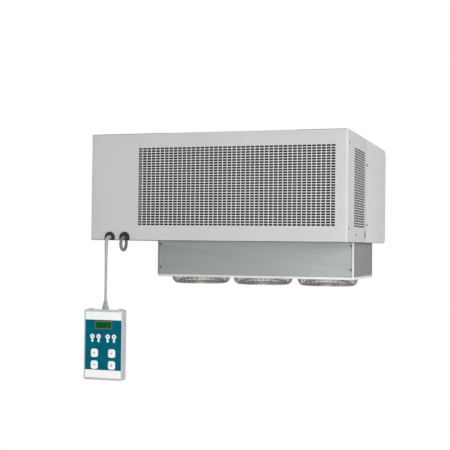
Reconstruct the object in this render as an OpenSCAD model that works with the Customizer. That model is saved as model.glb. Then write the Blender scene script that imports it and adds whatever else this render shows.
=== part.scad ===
// Ceiling-mounted monoblock refrigeration unit.
// The origin is the centre of the base plate's underside, which rests on the ceiling panel.
// +X is to the right of a viewer who faces the front panel, +Y goes from front to back, +Z is up.

/* [Casing] */
// Width of the casing
casing_w = 1000; // [980:5:1100]
// Depth of the casing, front to back
casing_d = 870; // [850:5:900]
// Height of the casing
casing_h = 404; // [400:1:440]
// Thickness of the cover sheets
sheet = 1.5; // [1:0.1:2]
// Thickness of the base plate
base_t = 2; // [1.5:0.1:3]
// Depth of the front section, up to the seam
front_section = 378; // [370:1:400]
// Outside radius of the two front corners
front_corner_r = 8; // [5:0.5:10]
// How far the front panel wraps round each side
front_return = 16; // [14:0.5:20]
// Radius of the rear cover's upright corners
rear_corner_r = 30; // [20:1:50]
// Radius of the rear cover's top and bottom rear edges
rear_edge_r = 72; // [40:1:76]
// Gap between neighbouring sheets
sheet_gap = 0.5; // [0.3:0.1:1]
// Depth of a front corner post
post_d = 30; // [26:1:36]
// Width of a front corner post
post_w = 20; // [16:1:22]
// Width of the strip that joins the two sections at the seam
seam_strip_w = 30; // [24:1:36]
// Distance from the casing's sides to the ceiling bolts
bolt_inset_x = 30; // [24:1:40]
// Distance from the casing's front and rear to the ceiling bolts
bolt_inset_y = 90; // [85:1:100]
// Radius of a ceiling bolt hole
bolt_hole_r = 4.5; // [3:0.5:6]

/* [Grilles] */
// Blank part of the front panel, left of the grille
blank_w = 197; // [190:1:205]
// Margin right of the front grille
grille_margin_right = 46; // [40:1:55]
// Height of the grilles' lowest slot above the base
grille_bottom = 58; // [50:1:65]
// Distance between slot rows
slot_row_pitch = 9.5; // [9:0.1:9.8]
// Least height of the blank strip above the grilles
grille_top = 51; // [48:1:60]
// Height of one slot
slot_h = 5.6; // [4:0.1:6.5]
// Metal left between neighbouring slots in a row
slot_web = 4.2; // [3:0.1:6]
// Slots in one row of the front grille
front_slots = 9; // [6:1:11]
// Slots in one row of a side grille
side_slots = 3; // [2:1:4]
// Distance from the front panel to a side grille
side_grille_start = 125; // [115:1:130]
// Width of a side grille
side_grille_w = 205; // [180:1:208]

/* [Cable entries] */
// Distance from the casing's left side to the first grommet
grommet_inset = 81; // [75:1:90]
// Distance between the two grommets
grommet_pitch = 61; // [56:1:66]
// Height of the grommets' centres above the panel's lower edge
grommet_z = 11; // [10:0.5:12]
// Outer radius of a grommet's flanges
grommet_r = 21; // [19:0.5:22]
// Radius of a grommet's neck in the panel
grommet_neck_r = 17; // [14:0.5:18]
// Thickness of a grommet's flange
grommet_flange = 4; // [3:0.5:5]
// Diameter of the control cord
control_cord_d = 10; // [8:0.5:10]
// Diameter of the supply cord
supply_cord_d = 12; // [10:0.5:12]

/* [Condenser] */
// Distance between neighbouring coil tubes
coil_pitch = 31; // [29:0.5:33]
// Radius of the coil tubes
tube_r = 5; // [4:0.5:6]
// Depth of the condenser's fins
fin_depth = 44; // [36:1:48]
// Distance from the front panel to the fins
coil_start = 14; // [12:0.5:16]
// Distance from the fins to the back of the fan shroud
shroud_depth = 26; // [22:1:30]
// Inner radius of a condenser fan's ring
cond_ring_r = 147; // [140:1:150]
// Gap between a condenser fan's blades and its ring
cond_tip_gap = 3.5; // [2:0.5:6]
// Depth of a condenser fan's ring
cond_ring_depth = 26; // [20:1:30]
// Radius of a condenser fan's hub
cond_hub_r = 44; // [38:1:50]
// Radius of a condenser fan motor
cond_motor_r = 50; // [42:1:54]
// Length of a condenser fan motor
cond_motor_l = 72; // [60:1:74]

/* [Evaporator box] */
// Distance from the casing's left side to the box
box_inset_left = 188; // [186:1:194]
// Distance from the casing's right side to the box
box_inset_right = 18; // [16:1:22]
// Distance from the front panel to the box
box_inset_front = 219; // [210:1:225]
// Depth of the box, front to back
box_d = 402; // [390:1:430]
// Height of the box walls below the base's underside
box_h = 132; // [128:1:140]
// Width of the side walls' folded front strip
corner_strip = 7; // [5:0.5:10]
// Height of the fan tray's rim below the walls
tray_rim = 9; // [7:0.5:12]
// Thickness of the fan tray
tray_t = 2; // [1.5:0.1:2.5]
// Thickness of the insulated plug above the box
plug_t = 40; // [30:1:50]
// Inner radius of an evaporator fan's ring
evap_ring_r = 112; // [106:0.5:113]
// Gap between an evaporator fan's blades and its ring
evap_tip_gap = 4; // [2:0.5:6]
// Radius of an evaporator fan's hub
evap_hub_r = 36; // [30:1:40]
// Radius of an evaporator fan motor
evap_motor_r = 40; // [34:1:44]
// Length of an evaporator fan motor
evap_motor_l = 50; // [40:1:54]
// Distance from the box's front wall to the fans' axes
evap_fan_back = 146; // [138:1:150]
// Outer radius of a fan guard
guard_r = 119; // [117:0.5:120]
// Depth of a fan guard below the tray
guard_depth = 29; // [24:1:34]
// Thickness of the guard wire
wire = 3; // [2:0.5:3.5]
// Length of the drain stub below the tray
drain_l = 24; // [18:1:26]
// Outer radius of the drain stub
drain_r = 9; // [8:0.5:12]

/* [Compressor and pipes] */
// Radius of the compressor's shell
comp_r = 78; // [70:1:80]
// Height of the compressor's shell
comp_h = 200; // [180:1:220]
// Height of the rubber mounts under the compressor's foot plate
mount_h = 22; // [16:1:26]
// Radius of the liquid receiver
receiver_r = 48; // [40:1:55]
// Height of the liquid receiver's shell
receiver_h = 200; // [160:1:220]
// Radius of the filter drier
drier_r = 22; // [18:1:26]
// Length of the filter drier
drier_l = 120; // [100:1:130]
// Diameter of the discharge and liquid pipes
pipe_d = 10; // [8:0.5:10]
// Diameter of the suction pipe
suction_d = 16; // [14:0.5:18]

/* [Electrical box] */
// Width of the electrical box
elec_w = 154; // [140:1:156]
// Depth of the electrical box
elec_d = 120; // [100:1:130]
// Gap between the electrical box and the casing's top
elec_top_gap = 29.5; // [20:0.5:50]
// Height of the electrical box's floor above the base
elec_lift = 46; // [42:1:54]

/* [Handset] */
// Width of the handset
remote_w = 158; // [150:1:165]
// Height of the handset
remote_h = 264; // [250:1:270]
// Thickness of the handset
remote_t = 32; // [30:1:40]
// Wall thickness of the handset's shells
remote_wall = 3; // [2.5:0.1:3.5]
// Radius of the handset's corners
remote_r = 7; // [6:0.5:10]
// Thickness of the printed overlay
overlay_t = 0.8; // [0.5:0.1:1]
// Margin beside the overlay
overlay_side = 5; // [4:0.5:7]
// Margin above and below the overlay
overlay_end = 8.5; // [7:0.5:10]
// Width of a key
key_w = 29; // [26:0.5:30]
// Height of a key
key_h = 32; // [29:0.5:33]
// How far a key stands proud of the overlay
key_proud = 1.5; // [1.2:0.1:2.5]
// How far a key travels
key_travel = 1; // [0.6:0.1:1.2]
// Width of the display window
display_w = 72; // [60:1:76]
// Height of the display window
display_h = 31; // [26:1:32]
// Length of the strain relief on the handset
gland_l = 34; // [28:1:36]

/* [Hidden] */

$fn = 48;
// Overrun of every cut past the face it opens
over = 1;
// Clearance of a shaft in its bearing, on the radius
running = 0.05;
// Clearance round a loose fit
loose = 0.3;

// Casing
left_x = -casing_w / 2;
right_x = casing_w / 2;
front_y = -casing_d / 2;
inner_x = casing_w / 2 - sheet;
panel_h = casing_h - sheet;
seam_y = front_y + front_section;
rear_crease = 1;
rear_round_y = casing_d / 2 + rear_crease - rear_edge_r;
bolt_x = casing_w / 2 - bolt_inset_x;
bolt_y = casing_d / 2 - bolt_inset_y;
slot_rows = floor((casing_h - grille_bottom - grille_top) / slot_row_pitch);
grille_x0 = left_x + blank_w;
grille_w = casing_w - blank_w - grille_margin_right;
screw_head_r = 4;
screw_head_h = 2.2;
screw_r = 1.8;
screw_l = 7;
seam_screw_shares = [0.174, 0.752];
post_screw_shares = [0.12, 0.88];
post_screw_back = front_return + (post_d + sheet - front_return) / 2;
low_screw_back = 162;
low_screw_z = 28;
seam_screw_in = seam_strip_w / 3;
tear_back = 348;
tear_z = 26;
tear_r = 6;
tear_tip = 24;

// Cable entries
grommet_x = [left_x + grommet_inset, left_x + grommet_inset + grommet_pitch];
notch_side = 5;
notch_depth = 40;
clip_w = 26;
clip_h = 14;
clip_wall = 4;
clip_foot = 16;
clip_cord_y = front_y + 16;

// Condenser
fin_side = 14;
coil_x0 = grille_x0 + fin_side;
coil_x1 = grille_x0 + grille_w - fin_side;
coil_len = coil_x1 - coil_x0;
end_plate = 2;
coil_y0 = front_y + coil_start;
coil_y1 = coil_y0 + fin_depth;
tube_y = coil_y0 + fin_depth / 2;
coil_tubes = 2 * floor((panel_h - base_t) / (2 * coil_pitch));
fins_h = coil_tubes * coil_pitch;
fins_z0 = base_t + (panel_h - base_t - fins_h) / 2;
tube_z0 = fins_z0 + coil_pitch / 2;
tube_top_z = tube_z0 + (coil_tubes - 1) * coil_pitch;
coil_stub = 8;
fin_groove_pitch = 15;
fin_groove_w = 9;
fin_groove_depth = 4;
shroud_y = coil_y1 + shroud_depth;
cond_fan_x = [(coil_x0 + coil_x1) / 2 - coil_len / 4, (coil_x0 + coil_x1) / 2 + coil_len / 4];
cond_fan_z = base_t + (panel_h - base_t) / 2;
ring_t = 2;
blade_t = 2.5;
blade_angle = 26;
fan_blades = 5;
shaft_r = 4;
hub_gap = 4;
cond_hub_l = cond_ring_depth - 2;
strap_t = 3;
strap_w = 40;
strap_reach = 14;
strap_hole_r = 12;
cond_strap_y = shroud_y + cond_ring_depth + hub_gap + strap_t;
shaft_in = 40;

// Evaporator box
box_x0 = left_x + box_inset_left;
box_x1 = right_x - box_inset_right;
box_w = box_x1 - box_x0;
box_y0 = front_y + box_inset_front;
box_y1 = box_y0 + box_d;
box_flange = 15;
plug_gap = 0.5;
plug_lap = 13;
plug_top = base_t + plug_t;
tray_z = -box_h - tray_rim;
tray_floor = tray_z + tray_t;
evap_fan_pitch = box_w / 3;
evap_fan_x = [for (i = [-1, 0, 1]) (box_x0 + box_x1) / 2 + i * evap_fan_pitch];
evap_fan_y = box_y0 + evap_fan_back;
evap_ring_h = 22;
evap_hub_l = evap_ring_h - 2;
evap_strap_z = tray_floor + evap_ring_h + hub_gap;
box_screw_in = 11;
box_screw_shares = [0.1, 0.78];
rear_rows = 7;
rear_row_h = 6;
rear_slots = 6;
rear_web = 14;
rear_edge = 22;
guard_rings = 5;
guard_spokes = 6;
guard_slope = 18;
guard_hub_r = 18;
evap_pitch = 28;
evap_rows = 2;
evap_clear = 10;
evap_levels = 2 * floor((box_h - evap_clear) / (2 * evap_pitch));
evap_side_left = 56;
evap_side_right = 42;
evap_x0 = box_x0 + evap_side_left;
evap_x1 = box_x1 - evap_side_right;
evap_len = evap_x1 - evap_x0;
evap_coil_back = 80;
evap_y1 = box_y1 - evap_coil_back;
evap_y0 = evap_y1 - evap_rows * evap_pitch;
evap_top = -(box_h - evap_levels * evap_pitch) / 2 - base_t;
heater_r = 4;
heater_header_r = 5;
heater_gap = 8;
heater_y = evap_y0 - heater_gap - heater_r;
plate_lap = 8;
drain_in = 32;
drain_wall = 2;

// Compressor and pipes
comp_x = left_x + sheet + (box_inset_left - sheet - plug_lap) / 2;
comp_y_share = 0.86;
suction_share = 0.42;
comp_y = box_y0 + comp_y_share * box_d;
comp_z = base_t + mount_h;
comp_edge = 34;
foot_t = 3;
foot_reach = 60;
foot_pad = 14;
foot_hole_r = 7;
mount_r = 11;
mount_cap_r = 10;
mount_cap_h = 4;
belt_h = 6;
belt_w = 2;
comp_top = comp_z + foot_t + comp_h;
cover_w = 56;
cover_out = 30;
cover_h = 64;
cover_z_share = 0.4;
receiver_x = box_x1 - 3 * receiver_r;
receiver_y = comp_y;
receiver_foot_h = 8;
receiver_foot_r = 0.7 * receiver_r;
receiver_edge = 30;
liquid_z = plug_top + receiver_h / 3;
drier_gap = 40;
drier_x1 = receiver_x - receiver_r - drier_gap;
drier_x0 = drier_x1 - drier_l;
drier_foot_w = 12;
valve_w = 28;
valve_h = 40;
valve_cap_r = 18;
valve_cap_h = 12;
valve_x = drier_x0 - 2 * drier_gap;
pipe_bend = 15;
side_leg = 12;
suction_leg = 20;
side_pipe_x = coil_x0 - end_plate - coil_stub - side_leg;
discharge_x = comp_x + comp_r - comp_edge - pipe_d / 2;
suction_x = evap_x0 - end_plate - coil_stub - suction_leg;
suction_y = evap_y1 - evap_pitch / 2;
suction_z = comp_z + suction_share * comp_h;
liquid_run_y = seam_y - 2 * seam_strip_w;
liquid_run_z = plug_top + receiver_h / 5;
feed_x = box_x0 + sheet + 0.75 * pipe_d;
feed_z = -pipe_d;
pipe_sides = 10;
bend_steps = 5;

// Electrical box
elec_x0 = left_x + post_w + 2 * sheet;
elec_y0 = front_y + post_d + 2 * sheet;
elec_z0 = base_t + elec_lift;
elec_h = panel_h - elec_z0 - elec_top_gap;
elec_back = elec_y0 + elec_d - sheet;
board_t = 1.6;
standoff = 8;

// Handset
remote_x = grommet_x[0];
remote_y = front_y - 30;
remote_top = -262;
remote_cz = remote_top - remote_h / 2;
remote_y0 = remote_y - remote_t / 2;
overlay_w = remote_w - 2 * overlay_side;
overlay_h = remote_h - 2 * overlay_end;
key_dx_share = 0.225;
key_upper_share = -0.118;
key_lower_share = -0.286;
display_share = 0.281;
indicator_share = 0.118;
indicator_dx_shares = [-0.283, -0.118, 0.118, 0.283];
indicator_r = 9;
lamp_r = 5;
lamp_drop = 17;
indicator_t = 0.4;
key_r = 9;
key_flange = 2;
key_flange_t = 1.2;
key_stem_r = 4;
key_lift = 0.4;
board_gap = 7;
remote_board_t = 1.6;
switch_w = 12;
switch_h = 3;
boss_r = 4;
remote_board_y = remote_y0 + remote_wall + board_gap;
boss_end = remote_y0 + remote_t - remote_wall / 2;
lug_w = 16;
lug_h = 3;
lug_in_share = 0.39;
wall_hole_r = 2.25;
wall_hole_spacing = 100;
wall_hole_up_share = 0.36;
gland_r = 14;
gland_neck_r = 6.5;

// Route of the control cord, from the first grommet down to the handset's strain relief.
// Both routes start in the middle of their grommet's width, at the front of the casing.
control_route = [
  [0, 0, 11], [0, -4, 11], [0, -8, 11], [0, -16, 9], [0, -23, 5], [0, -28, -2], [0, -30, -11],
  [0, -30, -30], [0, -30, -50], [0, -30, -70], [0, -30, -90], [0, -30, -110], [0, -30, -130],
  [0, -30, -150], [0, -30, -170], [0, -30, -190], [0, -30, -210], [0, -30, -228]
];
// Route of the supply cord, a short loop from the second grommet up behind the front panel
supply_route = [
  [0, 0, 11], [0, -4, 11], [0, -8, 11], [0, -17, 9], [0, -25, 4], [0, -30, -4], [0, -32, -13],
  [0, -30, -22], [0, -25, -30], [0, -17, -35], [0, -8, -37], [0, 1, -35], [0, 9, -30],
  [0, 14, -22], [0, 16, -13], [0, 16, -4], [0, 16, 4], [0, 16, 12]
];

// Vector helpers
function unit(v) = v / norm(v);
function flat_side(n, t) = unit(n - (n * t) * t);
function turned(p, i) =
  let (before = unit(p[max(i, 1)] - p[max(i, 1) - 1]), last = len(p) - 1,
       after = unit(p[min(i, last - 1) + 1] - p[min(i, last - 1)]))
  unit(before + after);
// Side vectors carried along a path without twist
function sides_along(p, first) =
  [for (i = 0, n = flat_side(first, turned(p, 0)); i < len(p);
        i = i + 1, n = i < len(p) ? flat_side(n, turned(p, i)) : n) n];

// Tube of round section along a path, as one closed solid
module tube_along(p, d, sides = 10, first = [1, 0, 0]) {
  n = sides_along(p, first);
  points = [for (i = [0:len(p) - 1], k = [0:sides - 1])
    p[i] + d / 2 * (cos(k * 360 / sides) * n[i] + sin(k * 360 / sides) * cross(turned(p, i), n[i]))];
  last = (len(p) - 1) * sides;
  walls = [for (i = [0:len(p) - 2], k = [0:sides - 1])
    let (a = i * sides + k, b = i * sides + (k + 1) % sides)
      each [[a, a + sides, b], [b, a + sides, b + sides]]];
  caps = [for (k = [1:sides - 2]) each [[0, k, k + 1], [last, last + k + 1, last + k]]];
  polyhedron(points, concat(walls, caps), convexity = 6);
}

// Corner points joined by straight runs and arcs of radius r
function rounded_path(c, r) = [
  c[0],
  for (i = [1:len(c) - 2])
    let (u = unit(c[i - 1] - c[i]), v = unit(c[i + 1] - c[i]), half = acos(u * v) / 2,
         m = c[i] + unit(u + v) * r / sin(half), a = c[i] + u * r / tan(half) - m,
         w = unit(c[i] + v * r / tan(half) - m - a * (cos(180 - 2 * half))) * r)
    for (k = [0:bend_steps])
      let (t = k / bend_steps * (180 - 2 * half)) m + a * cos(t) + w * sin(t),
  c[len(c) - 1]
];

module pipe(corners, d, first = [1, 0, 0], bend = pipe_bend)
  tube_along(rounded_path(corners, bend), d, pipe_sides, first);

// Flat outline in X and Z, given depth along Y from y0 backwards
module upright(y0, depth) translate([0, y0 + depth, 0]) rotate([90, 0, 0]) linear_extrude(depth) children();

// Flat outline in Y and Z, given thickness along X from x0
module sideways(x0, thickness) translate([x0, 0, 0]) rotate([90, 0, 90]) linear_extrude(thickness) children();

// Turns a piece made along +Z so that it runs along +Y
module along_y() rotate([-90, 0, 0]) children();

// Turns a piece made along +Z so that it runs along +X
module along_x() rotate([0, 90, 0]) children();

// Rectangle with round corners, centred
module rounded_rect(w, h, r) {
  square([w - 2 * r, h], center = true);
  square([w, h - 2 * r], center = true);
  for (x = [-1, 1], z = [-1, 1]) translate([x * (w / 2 - r), z * (h / 2 - r)]) circle(r);
}

// Drum with rounded ends, standing on z = 0
module drum(r, h, edge) rotate_extrude() {
  square([r - edge, h]);
  translate([0, edge]) square([r, h - 2 * edge]);
  intersection() {
    for (z = [edge, h - edge]) translate([r - edge, z]) circle(edge);
    square([r, h]);
  }
}

// Rows of slots, starting at the first slot's lower left corner
module slot_field(w, columns) {
  pitch = (w + slot_web) / columns;
  for (i = [0:columns - 1], j = [0:slot_rows - 1])
    translate([i * pitch, j * slot_row_pitch]) square([pitch - slot_web, slot_h]);
}

// Screw with its head outside z = 0 and its shank below
module screw() {
  cylinder(r = screw_head_r, h = screw_head_h);
  translate([0, 0, -screw_l]) cylinder(r = screw_r, h = screw_l + screw_head_h / 2);
}

// Axial fan round z = 0 to hub_l, with its shaft towards +Z
module axial_fan(tip_r, hub_r, hub_l, blades, shaft_end) {
  difference() {
    cylinder(r = hub_r, h = hub_l);
    translate([0, 0, -over]) cylinder(r = hub_r - 4 * blade_t, h = hub_l / 3 + over);
  }
  intersection() {
    difference() {
      cylinder(r = tip_r, h = hub_l);
      translate([0, 0, -over]) cylinder(r = hub_r - blade_t, h = hub_l + 2 * over);
    }
    for (i = [0:blades - 1]) rotate([0, 0, i * 360 / blades])
      translate([hub_r - 2 * blade_t, 0, hub_l / 2]) rotate([blade_angle, 0, 0])
        translate([0, -tip_r, -blade_t / 2]) cube([tip_r, 2 * tip_r, blade_t]);
  }
  translate([0, 0, hub_l / 2]) cylinder(r = shaft_r, h = shaft_end - hub_l / 2);
}

// Motor standing on z = 0, with a blind bearing for a shaft that comes from below
module fan_motor(r, l) difference() {
  drum(r, l, r / 5);
  translate([0, 0, -over]) cylinder(r = shaft_r + running, h = shaft_in + over + hub_gap);
}

// Strap that carries a fan motor, with legs that reach down to z = -leg
module motor_strap(reach, leg) {
  difference() {
    translate([-reach, -strap_w / 2, 0]) cube([2 * reach, strap_w, strap_t]);
    translate([0, 0, -over]) cylinder(r = strap_hole_r, h = strap_t + 2 * over);
  }
  for (x = [-reach, reach - strap_t])
    translate([x, -strap_w / 2, -leg]) cube([strap_t, strap_w, leg + strap_t]);
}

// Serpentine of coil tubes along X: straight runs between x0 and x1, joined at the ends
module coil_bend(x, y, z, pitch, side, lean = 0)
  translate([x, y, z]) rotate([lean, 0, 0]) rotate([0, 0, side > 0 ? 0 : 180]) rotate([90, 0, 0])
    rotate_extrude(angle = 180, start = -90) translate([pitch / 2, 0]) circle(tube_r);

// Casing pieces

module base_outline() difference() {
  intersection() {
    union() {
      translate([-inner_x, front_y + front_corner_r]) square([2 * inner_x, casing_d]);
      translate([left_x + front_corner_r, front_y + sheet])
        square([casing_w - 2 * front_corner_r, casing_d / 2]);
    }
    union() {
      translate([-casing_w, -casing_d]) square([2 * casing_w, 1.5 * casing_d - rear_corner_r]);
      cover_plan(sheet + sheet_gap, front_y);
    }
    translate([-casing_w, -casing_d]) square([2 * casing_w, casing_d + rear_round_y - sheet_gap]);
  }
  translate([box_x0 - plug_gap, box_y0 - plug_gap]) square([box_w + 2 * plug_gap, box_d + 2 * plug_gap]);
  translate([grommet_x[0] - grommet_r - notch_side, front_y])
    square([grommet_pitch + 2 * (grommet_r + notch_side), notch_depth]);
  for (x = [-bolt_x, bolt_x], y = [-bolt_y, bolt_y]) translate([x, y]) circle(bolt_hole_r);
}

module base_plate() color("silver") linear_extrude(base_t) base_outline();

module grommet_cut(r) {
  for (x = grommet_x) {
    translate([x, grommet_z]) circle(r);
    translate([x - r, -over]) square([2 * r, grommet_z + over]);
  }
}

module front_panel() color([0.80, 0.80, 0.82]) {
  upright(front_y, sheet) difference() {
    translate([left_x + front_corner_r, 0]) square([casing_w - 2 * front_corner_r, panel_h]);
    translate([grille_x0, grille_bottom]) slot_field(grille_w, front_slots);
    grommet_cut(grommet_neck_r);
  }
  for (s = [0, 1]) mirror([s, 0, 0]) linear_extrude(panel_h) {
    translate([right_x - front_corner_r, front_y + front_corner_r]) intersection() {
      difference() {
        circle(front_corner_r);
        circle(front_corner_r - sheet);
      }
      translate([0, -front_corner_r]) square(front_corner_r);
    }
    translate([inner_x, front_y + front_corner_r]) square([sheet, front_return - front_corner_r]);
  }
}

module side_outline() difference() {
  side_y0 = front_y + front_return + sheet_gap;
  translate([side_y0, 0]) square([seam_y - sheet_gap / 2 - side_y0, panel_h]);
  translate([front_y + side_grille_start, grille_bottom]) slot_field(side_grille_w, side_slots);
  side_screw_places() circle(screw_r);
}

module side_screw_places() {
  for (s = post_screw_shares) translate([front_y + post_screw_back, s * casing_h]) children();
  for (s = seam_screw_shares) translate([seam_y - seam_screw_in, s * casing_h]) children();
}

module rear_screw_places()
  for (s = seam_screw_shares) translate([seam_y + seam_screw_in, s * casing_h]) children();

module right_side_panel() color([0.78, 0.78, 0.80]) sideways(inner_x, sheet) difference() {
  side_outline();
  translate([front_y + low_screw_back, low_screw_z]) circle(screw_r);
  translate([front_y + tear_back, tear_z]) {
    circle(tear_r);
    polygon([[-tear_r, 0], [tear_r, 0], [0, tear_tip]]);
  }
}

module left_side_panel() color([0.78, 0.78, 0.80]) sideways(left_x, sheet) side_outline();

module top_panel() color([0.80, 0.80, 0.82]) translate([0, 0, panel_h]) linear_extrude(sheet) {
  translate([left_x, front_y + front_corner_r])
    square([casing_w, front_section - front_corner_r - sheet_gap / 2]);
  translate([left_x + front_corner_r, front_y]) square([casing_w - 2 * front_corner_r, front_corner_r]);
  for (s = [-1, 1])
    translate([s * (right_x - front_corner_r), front_y + front_corner_r]) circle(front_corner_r);
}

// Plan of the rear cover, with every wall moved in by inset
module cover_plan(inset, y0) {
  round_y = casing_d / 2 - rear_corner_r;
  translate([left_x + inset, y0]) square([casing_w - 2 * inset, round_y - y0]);
  translate([left_x + rear_corner_r, y0]) square([casing_w - 2 * rear_corner_r, casing_d / 2 - inset - y0]);
  for (s = [-1, 1]) translate([s * (right_x - rear_corner_r), round_y]) circle(rear_corner_r - inset);
}

// Side view of the rear cover, with every wall moved in by inset and the bottom at z0
module cover_side(inset, y0, z0) {
  translate([y0, z0]) square([rear_round_y - y0, casing_h - inset - z0]);
  translate([y0, rear_edge_r]) square([rear_round_y + rear_edge_r - inset - y0, casing_h - 2 * rear_edge_r]);
  for (z = [rear_edge_r, casing_h - rear_edge_r])
    translate([rear_round_y, z]) circle(rear_edge_r - inset);
}

module cover_solid(inset, y0, z0) intersection() {
  translate([0, 0, z0]) linear_extrude(casing_h - z0) cover_plan(inset, y0);
  sideways(-casing_w, 2 * casing_w) cover_side(inset, y0, z0);
}

module rear_cover() color([0.75, 0.75, 0.77]) difference() {
  cover_solid(0, seam_y + sheet_gap / 2, 0);
  cover_solid(sheet, seam_y - over, -over);
  sideways(-casing_w, 2 * casing_w) rear_screw_places() circle(screw_r);
}

module corner_posts() color("darkgray") for (s = [0, 1]) mirror([s, 0, 0])
  translate([inner_x - post_w / 2, front_y + sheet + post_d / 2, base_t]) difference() {
    linear_extrude(panel_h - base_t) difference() {
      rounded_rect(post_w, post_d, front_corner_r);
      rounded_rect(post_w - 2 * sheet, post_d - 2 * sheet, front_corner_r - sheet);
    }
    for (z = post_screw_shares)
      translate([0, front_y + post_screw_back - (front_y + sheet + post_d / 2), z * casing_h - base_t])
        along_x() cylinder(r = screw_r, h = post_w);
  }

module seam_frame() color("darkgray") difference() {
  upright(seam_y - seam_strip_w / 2, seam_strip_w) difference() {
    translate([-inner_x, base_t]) square([2 * inner_x, panel_h - base_t]);
    translate([-inner_x + sheet, base_t - over])
      square([2 * (inner_x - sheet), panel_h - base_t - sheet + over]);
  }
  sideways(-casing_w, 2 * casing_w) {
    for (s = seam_screw_shares) translate([seam_y - seam_screw_in, s * casing_h]) circle(screw_r);
    rear_screw_places() circle(screw_r);
  }
}

module panel_screws() color("gray") {
  for (s = [0, 1]) mirror([s, 0, 0]) {
    for (z = post_screw_shares)
      translate([right_x, front_y + post_screw_back, z * casing_h]) along_x() screw();
    for (z = seam_screw_shares, y = [seam_y - seam_screw_in, seam_y + seam_screw_in])
      translate([right_x, y, z * casing_h]) along_x() screw();
  }
  translate([right_x, front_y + low_screw_back, low_screw_z]) along_x() screw();
  for (x = [box_x0 + box_screw_in, box_x1 - box_screw_in], z = box_screw_shares)
    translate([x, box_y0 + sheet, -z * box_h]) rotate([90, 0, 0]) screw();
}

// U-shaped edge grommet whose channel lets a cord of diameter d run out
module edge_grommet(x, d) difference() {
  translate([x, front_y, grommet_z]) along_y() {
    translate([0, 0, -grommet_flange]) cylinder(r = grommet_r, h = grommet_flange);
    cylinder(r = grommet_neck_r, h = sheet);
    translate([0, 0, sheet]) cylinder(r = grommet_r, h = grommet_flange);
  }
  translate([x - casing_w, front_y - 2 * grommet_flange, -2 * grommet_r])
    cube([2 * casing_w, 6 * grommet_flange, 2 * grommet_r]);
  upright(front_y - 2 * grommet_flange, 6 * grommet_flange) {
    translate([x, grommet_z]) circle(d / 2 + loose);
    translate([x - d / 2 - loose, -over]) square([d + 2 * loose, grommet_z + over]);
  }
}

module control_grommet() color([0.1, 0.1, 0.1]) edge_grommet(grommet_x[0], control_cord_d);
module supply_grommet() color([0.1, 0.1, 0.1]) edge_grommet(grommet_x[1], supply_cord_d);

module supply_cord_clip() {
  clip_y0 = clip_cord_y - supply_cord_d / 2 - clip_wall;
  clip_y1 = front_y + notch_depth + clip_foot;
  color([0.2, 0.2, 0.2]) difference() {
    translate([grommet_x[1] - clip_w / 2, clip_y0, base_t]) cube([clip_w, clip_y1 - clip_y0, clip_h]);
    translate([grommet_x[1], clip_cord_y, 0])
      cylinder(r = supply_cord_d / 2 + loose, h = base_t + clip_h + over);
  }
}

module supply_cord() color([0.62, 0.63, 0.60])
  translate([grommet_x[1], front_y, 0]) tube_along(supply_route, supply_cord_d);

module control_cord() color([0.80, 0.80, 0.80])
  translate([grommet_x[0], front_y, 0]) tube_along(control_route, control_cord_d);

// Electrical pieces

module electrical_box() color([0.7, 0.7, 0.7]) {
  difference() {
    translate([elec_x0, elec_y0, elec_z0]) cube([elec_w, elec_d, elec_h]);
    translate([elec_x0 + sheet, elec_y0 - over, elec_z0 + sheet])
      cube([elec_w - 2 * sheet, elec_d - sheet + over, elec_h - 2 * sheet]);
  }
  translate([elec_x0, elec_y0 + elec_d - sheet, base_t]) cube([elec_w, sheet, elec_lift]);
}

module electrical_box_lid() color([0.75, 0.75, 0.75])
  translate([elec_x0, elec_y0 - sheet, elec_z0]) cube([elec_w, sheet, elec_h]);

module contactor() color([0.25, 0.25, 0.27])
  translate([elec_x0 + elec_w / 8, elec_back - elec_d / 2, elec_z0 + elec_h * 5 / 8]) {
    cube([elec_w / 3, elec_d / 2, elec_h / 4]);
    translate([elec_w / 24, -elec_d / 8, elec_h / 16]) cube([elec_w / 4, elec_d / 8, elec_h / 8]);
  }

module terminal_block() color([0.85, 0.85, 0.8])
  translate([elec_x0 + elec_w / 8, elec_back - elec_d / 4, elec_z0 + elec_h / 16]) difference() {
    cube([elec_w * 3 / 4, elec_d / 4, elec_h / 10]);
    for (i = [0:9]) translate([elec_w * (3 * i + 1) / 40, -over, elec_h / 40])
      cube([elec_w / 40, elec_d / 8 + over, elec_h / 20]);
  }

module power_board() color([0.1, 0.45, 0.2]) {
  board_x = elec_x0 + elec_w / 8;
  board_w = elec_w * 3 / 4;
  board_h = elec_h * 3 / 10;
  board_z = elec_z0 + elec_h / 4;
  board_y = elec_back - standoff - board_t;
  translate([board_x, board_y, board_z]) cube([board_w, board_t, board_h]);
  for (x = [0.08, 0.92], z = [0.08, 0.92])
    translate([board_x + x * board_w, elec_back - standoff, board_z + z * board_h])
      along_y() cylinder(r = board_t * 2, h = standoff);
  translate([board_x + board_w / 10, board_y - elec_d / 5, board_z + board_h / 2])
    cube([board_w / 3, elec_d / 5, board_h / 3]);
  for (share = [0.55, 0.7, 0.85])
    translate([board_x + share * board_w, board_y - elec_d / 8, board_z + board_h / 5])
      cube([board_w / 10, elec_d / 8, board_h / 4]);
}

// Condenser pieces

// Block with upright grooves in its front and back that stand for the fins
module fin_block(x0, x1, y0, y1, h) {
  count = floor((x1 - x0) / fin_groove_pitch);
  edge = ((x1 - x0) - count * fin_groove_pitch + fin_groove_pitch - fin_groove_w) / 2;
  linear_extrude(h) difference() {
    translate([x0, y0]) square([x1 - x0, y1 - y0]);
    for (i = [0:count - 1], y = [y0 - over, y1 - fin_groove_depth])
      translate([x0 + edge + i * fin_groove_pitch, y]) square([fin_groove_w, fin_groove_depth + over]);
  }
}

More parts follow.
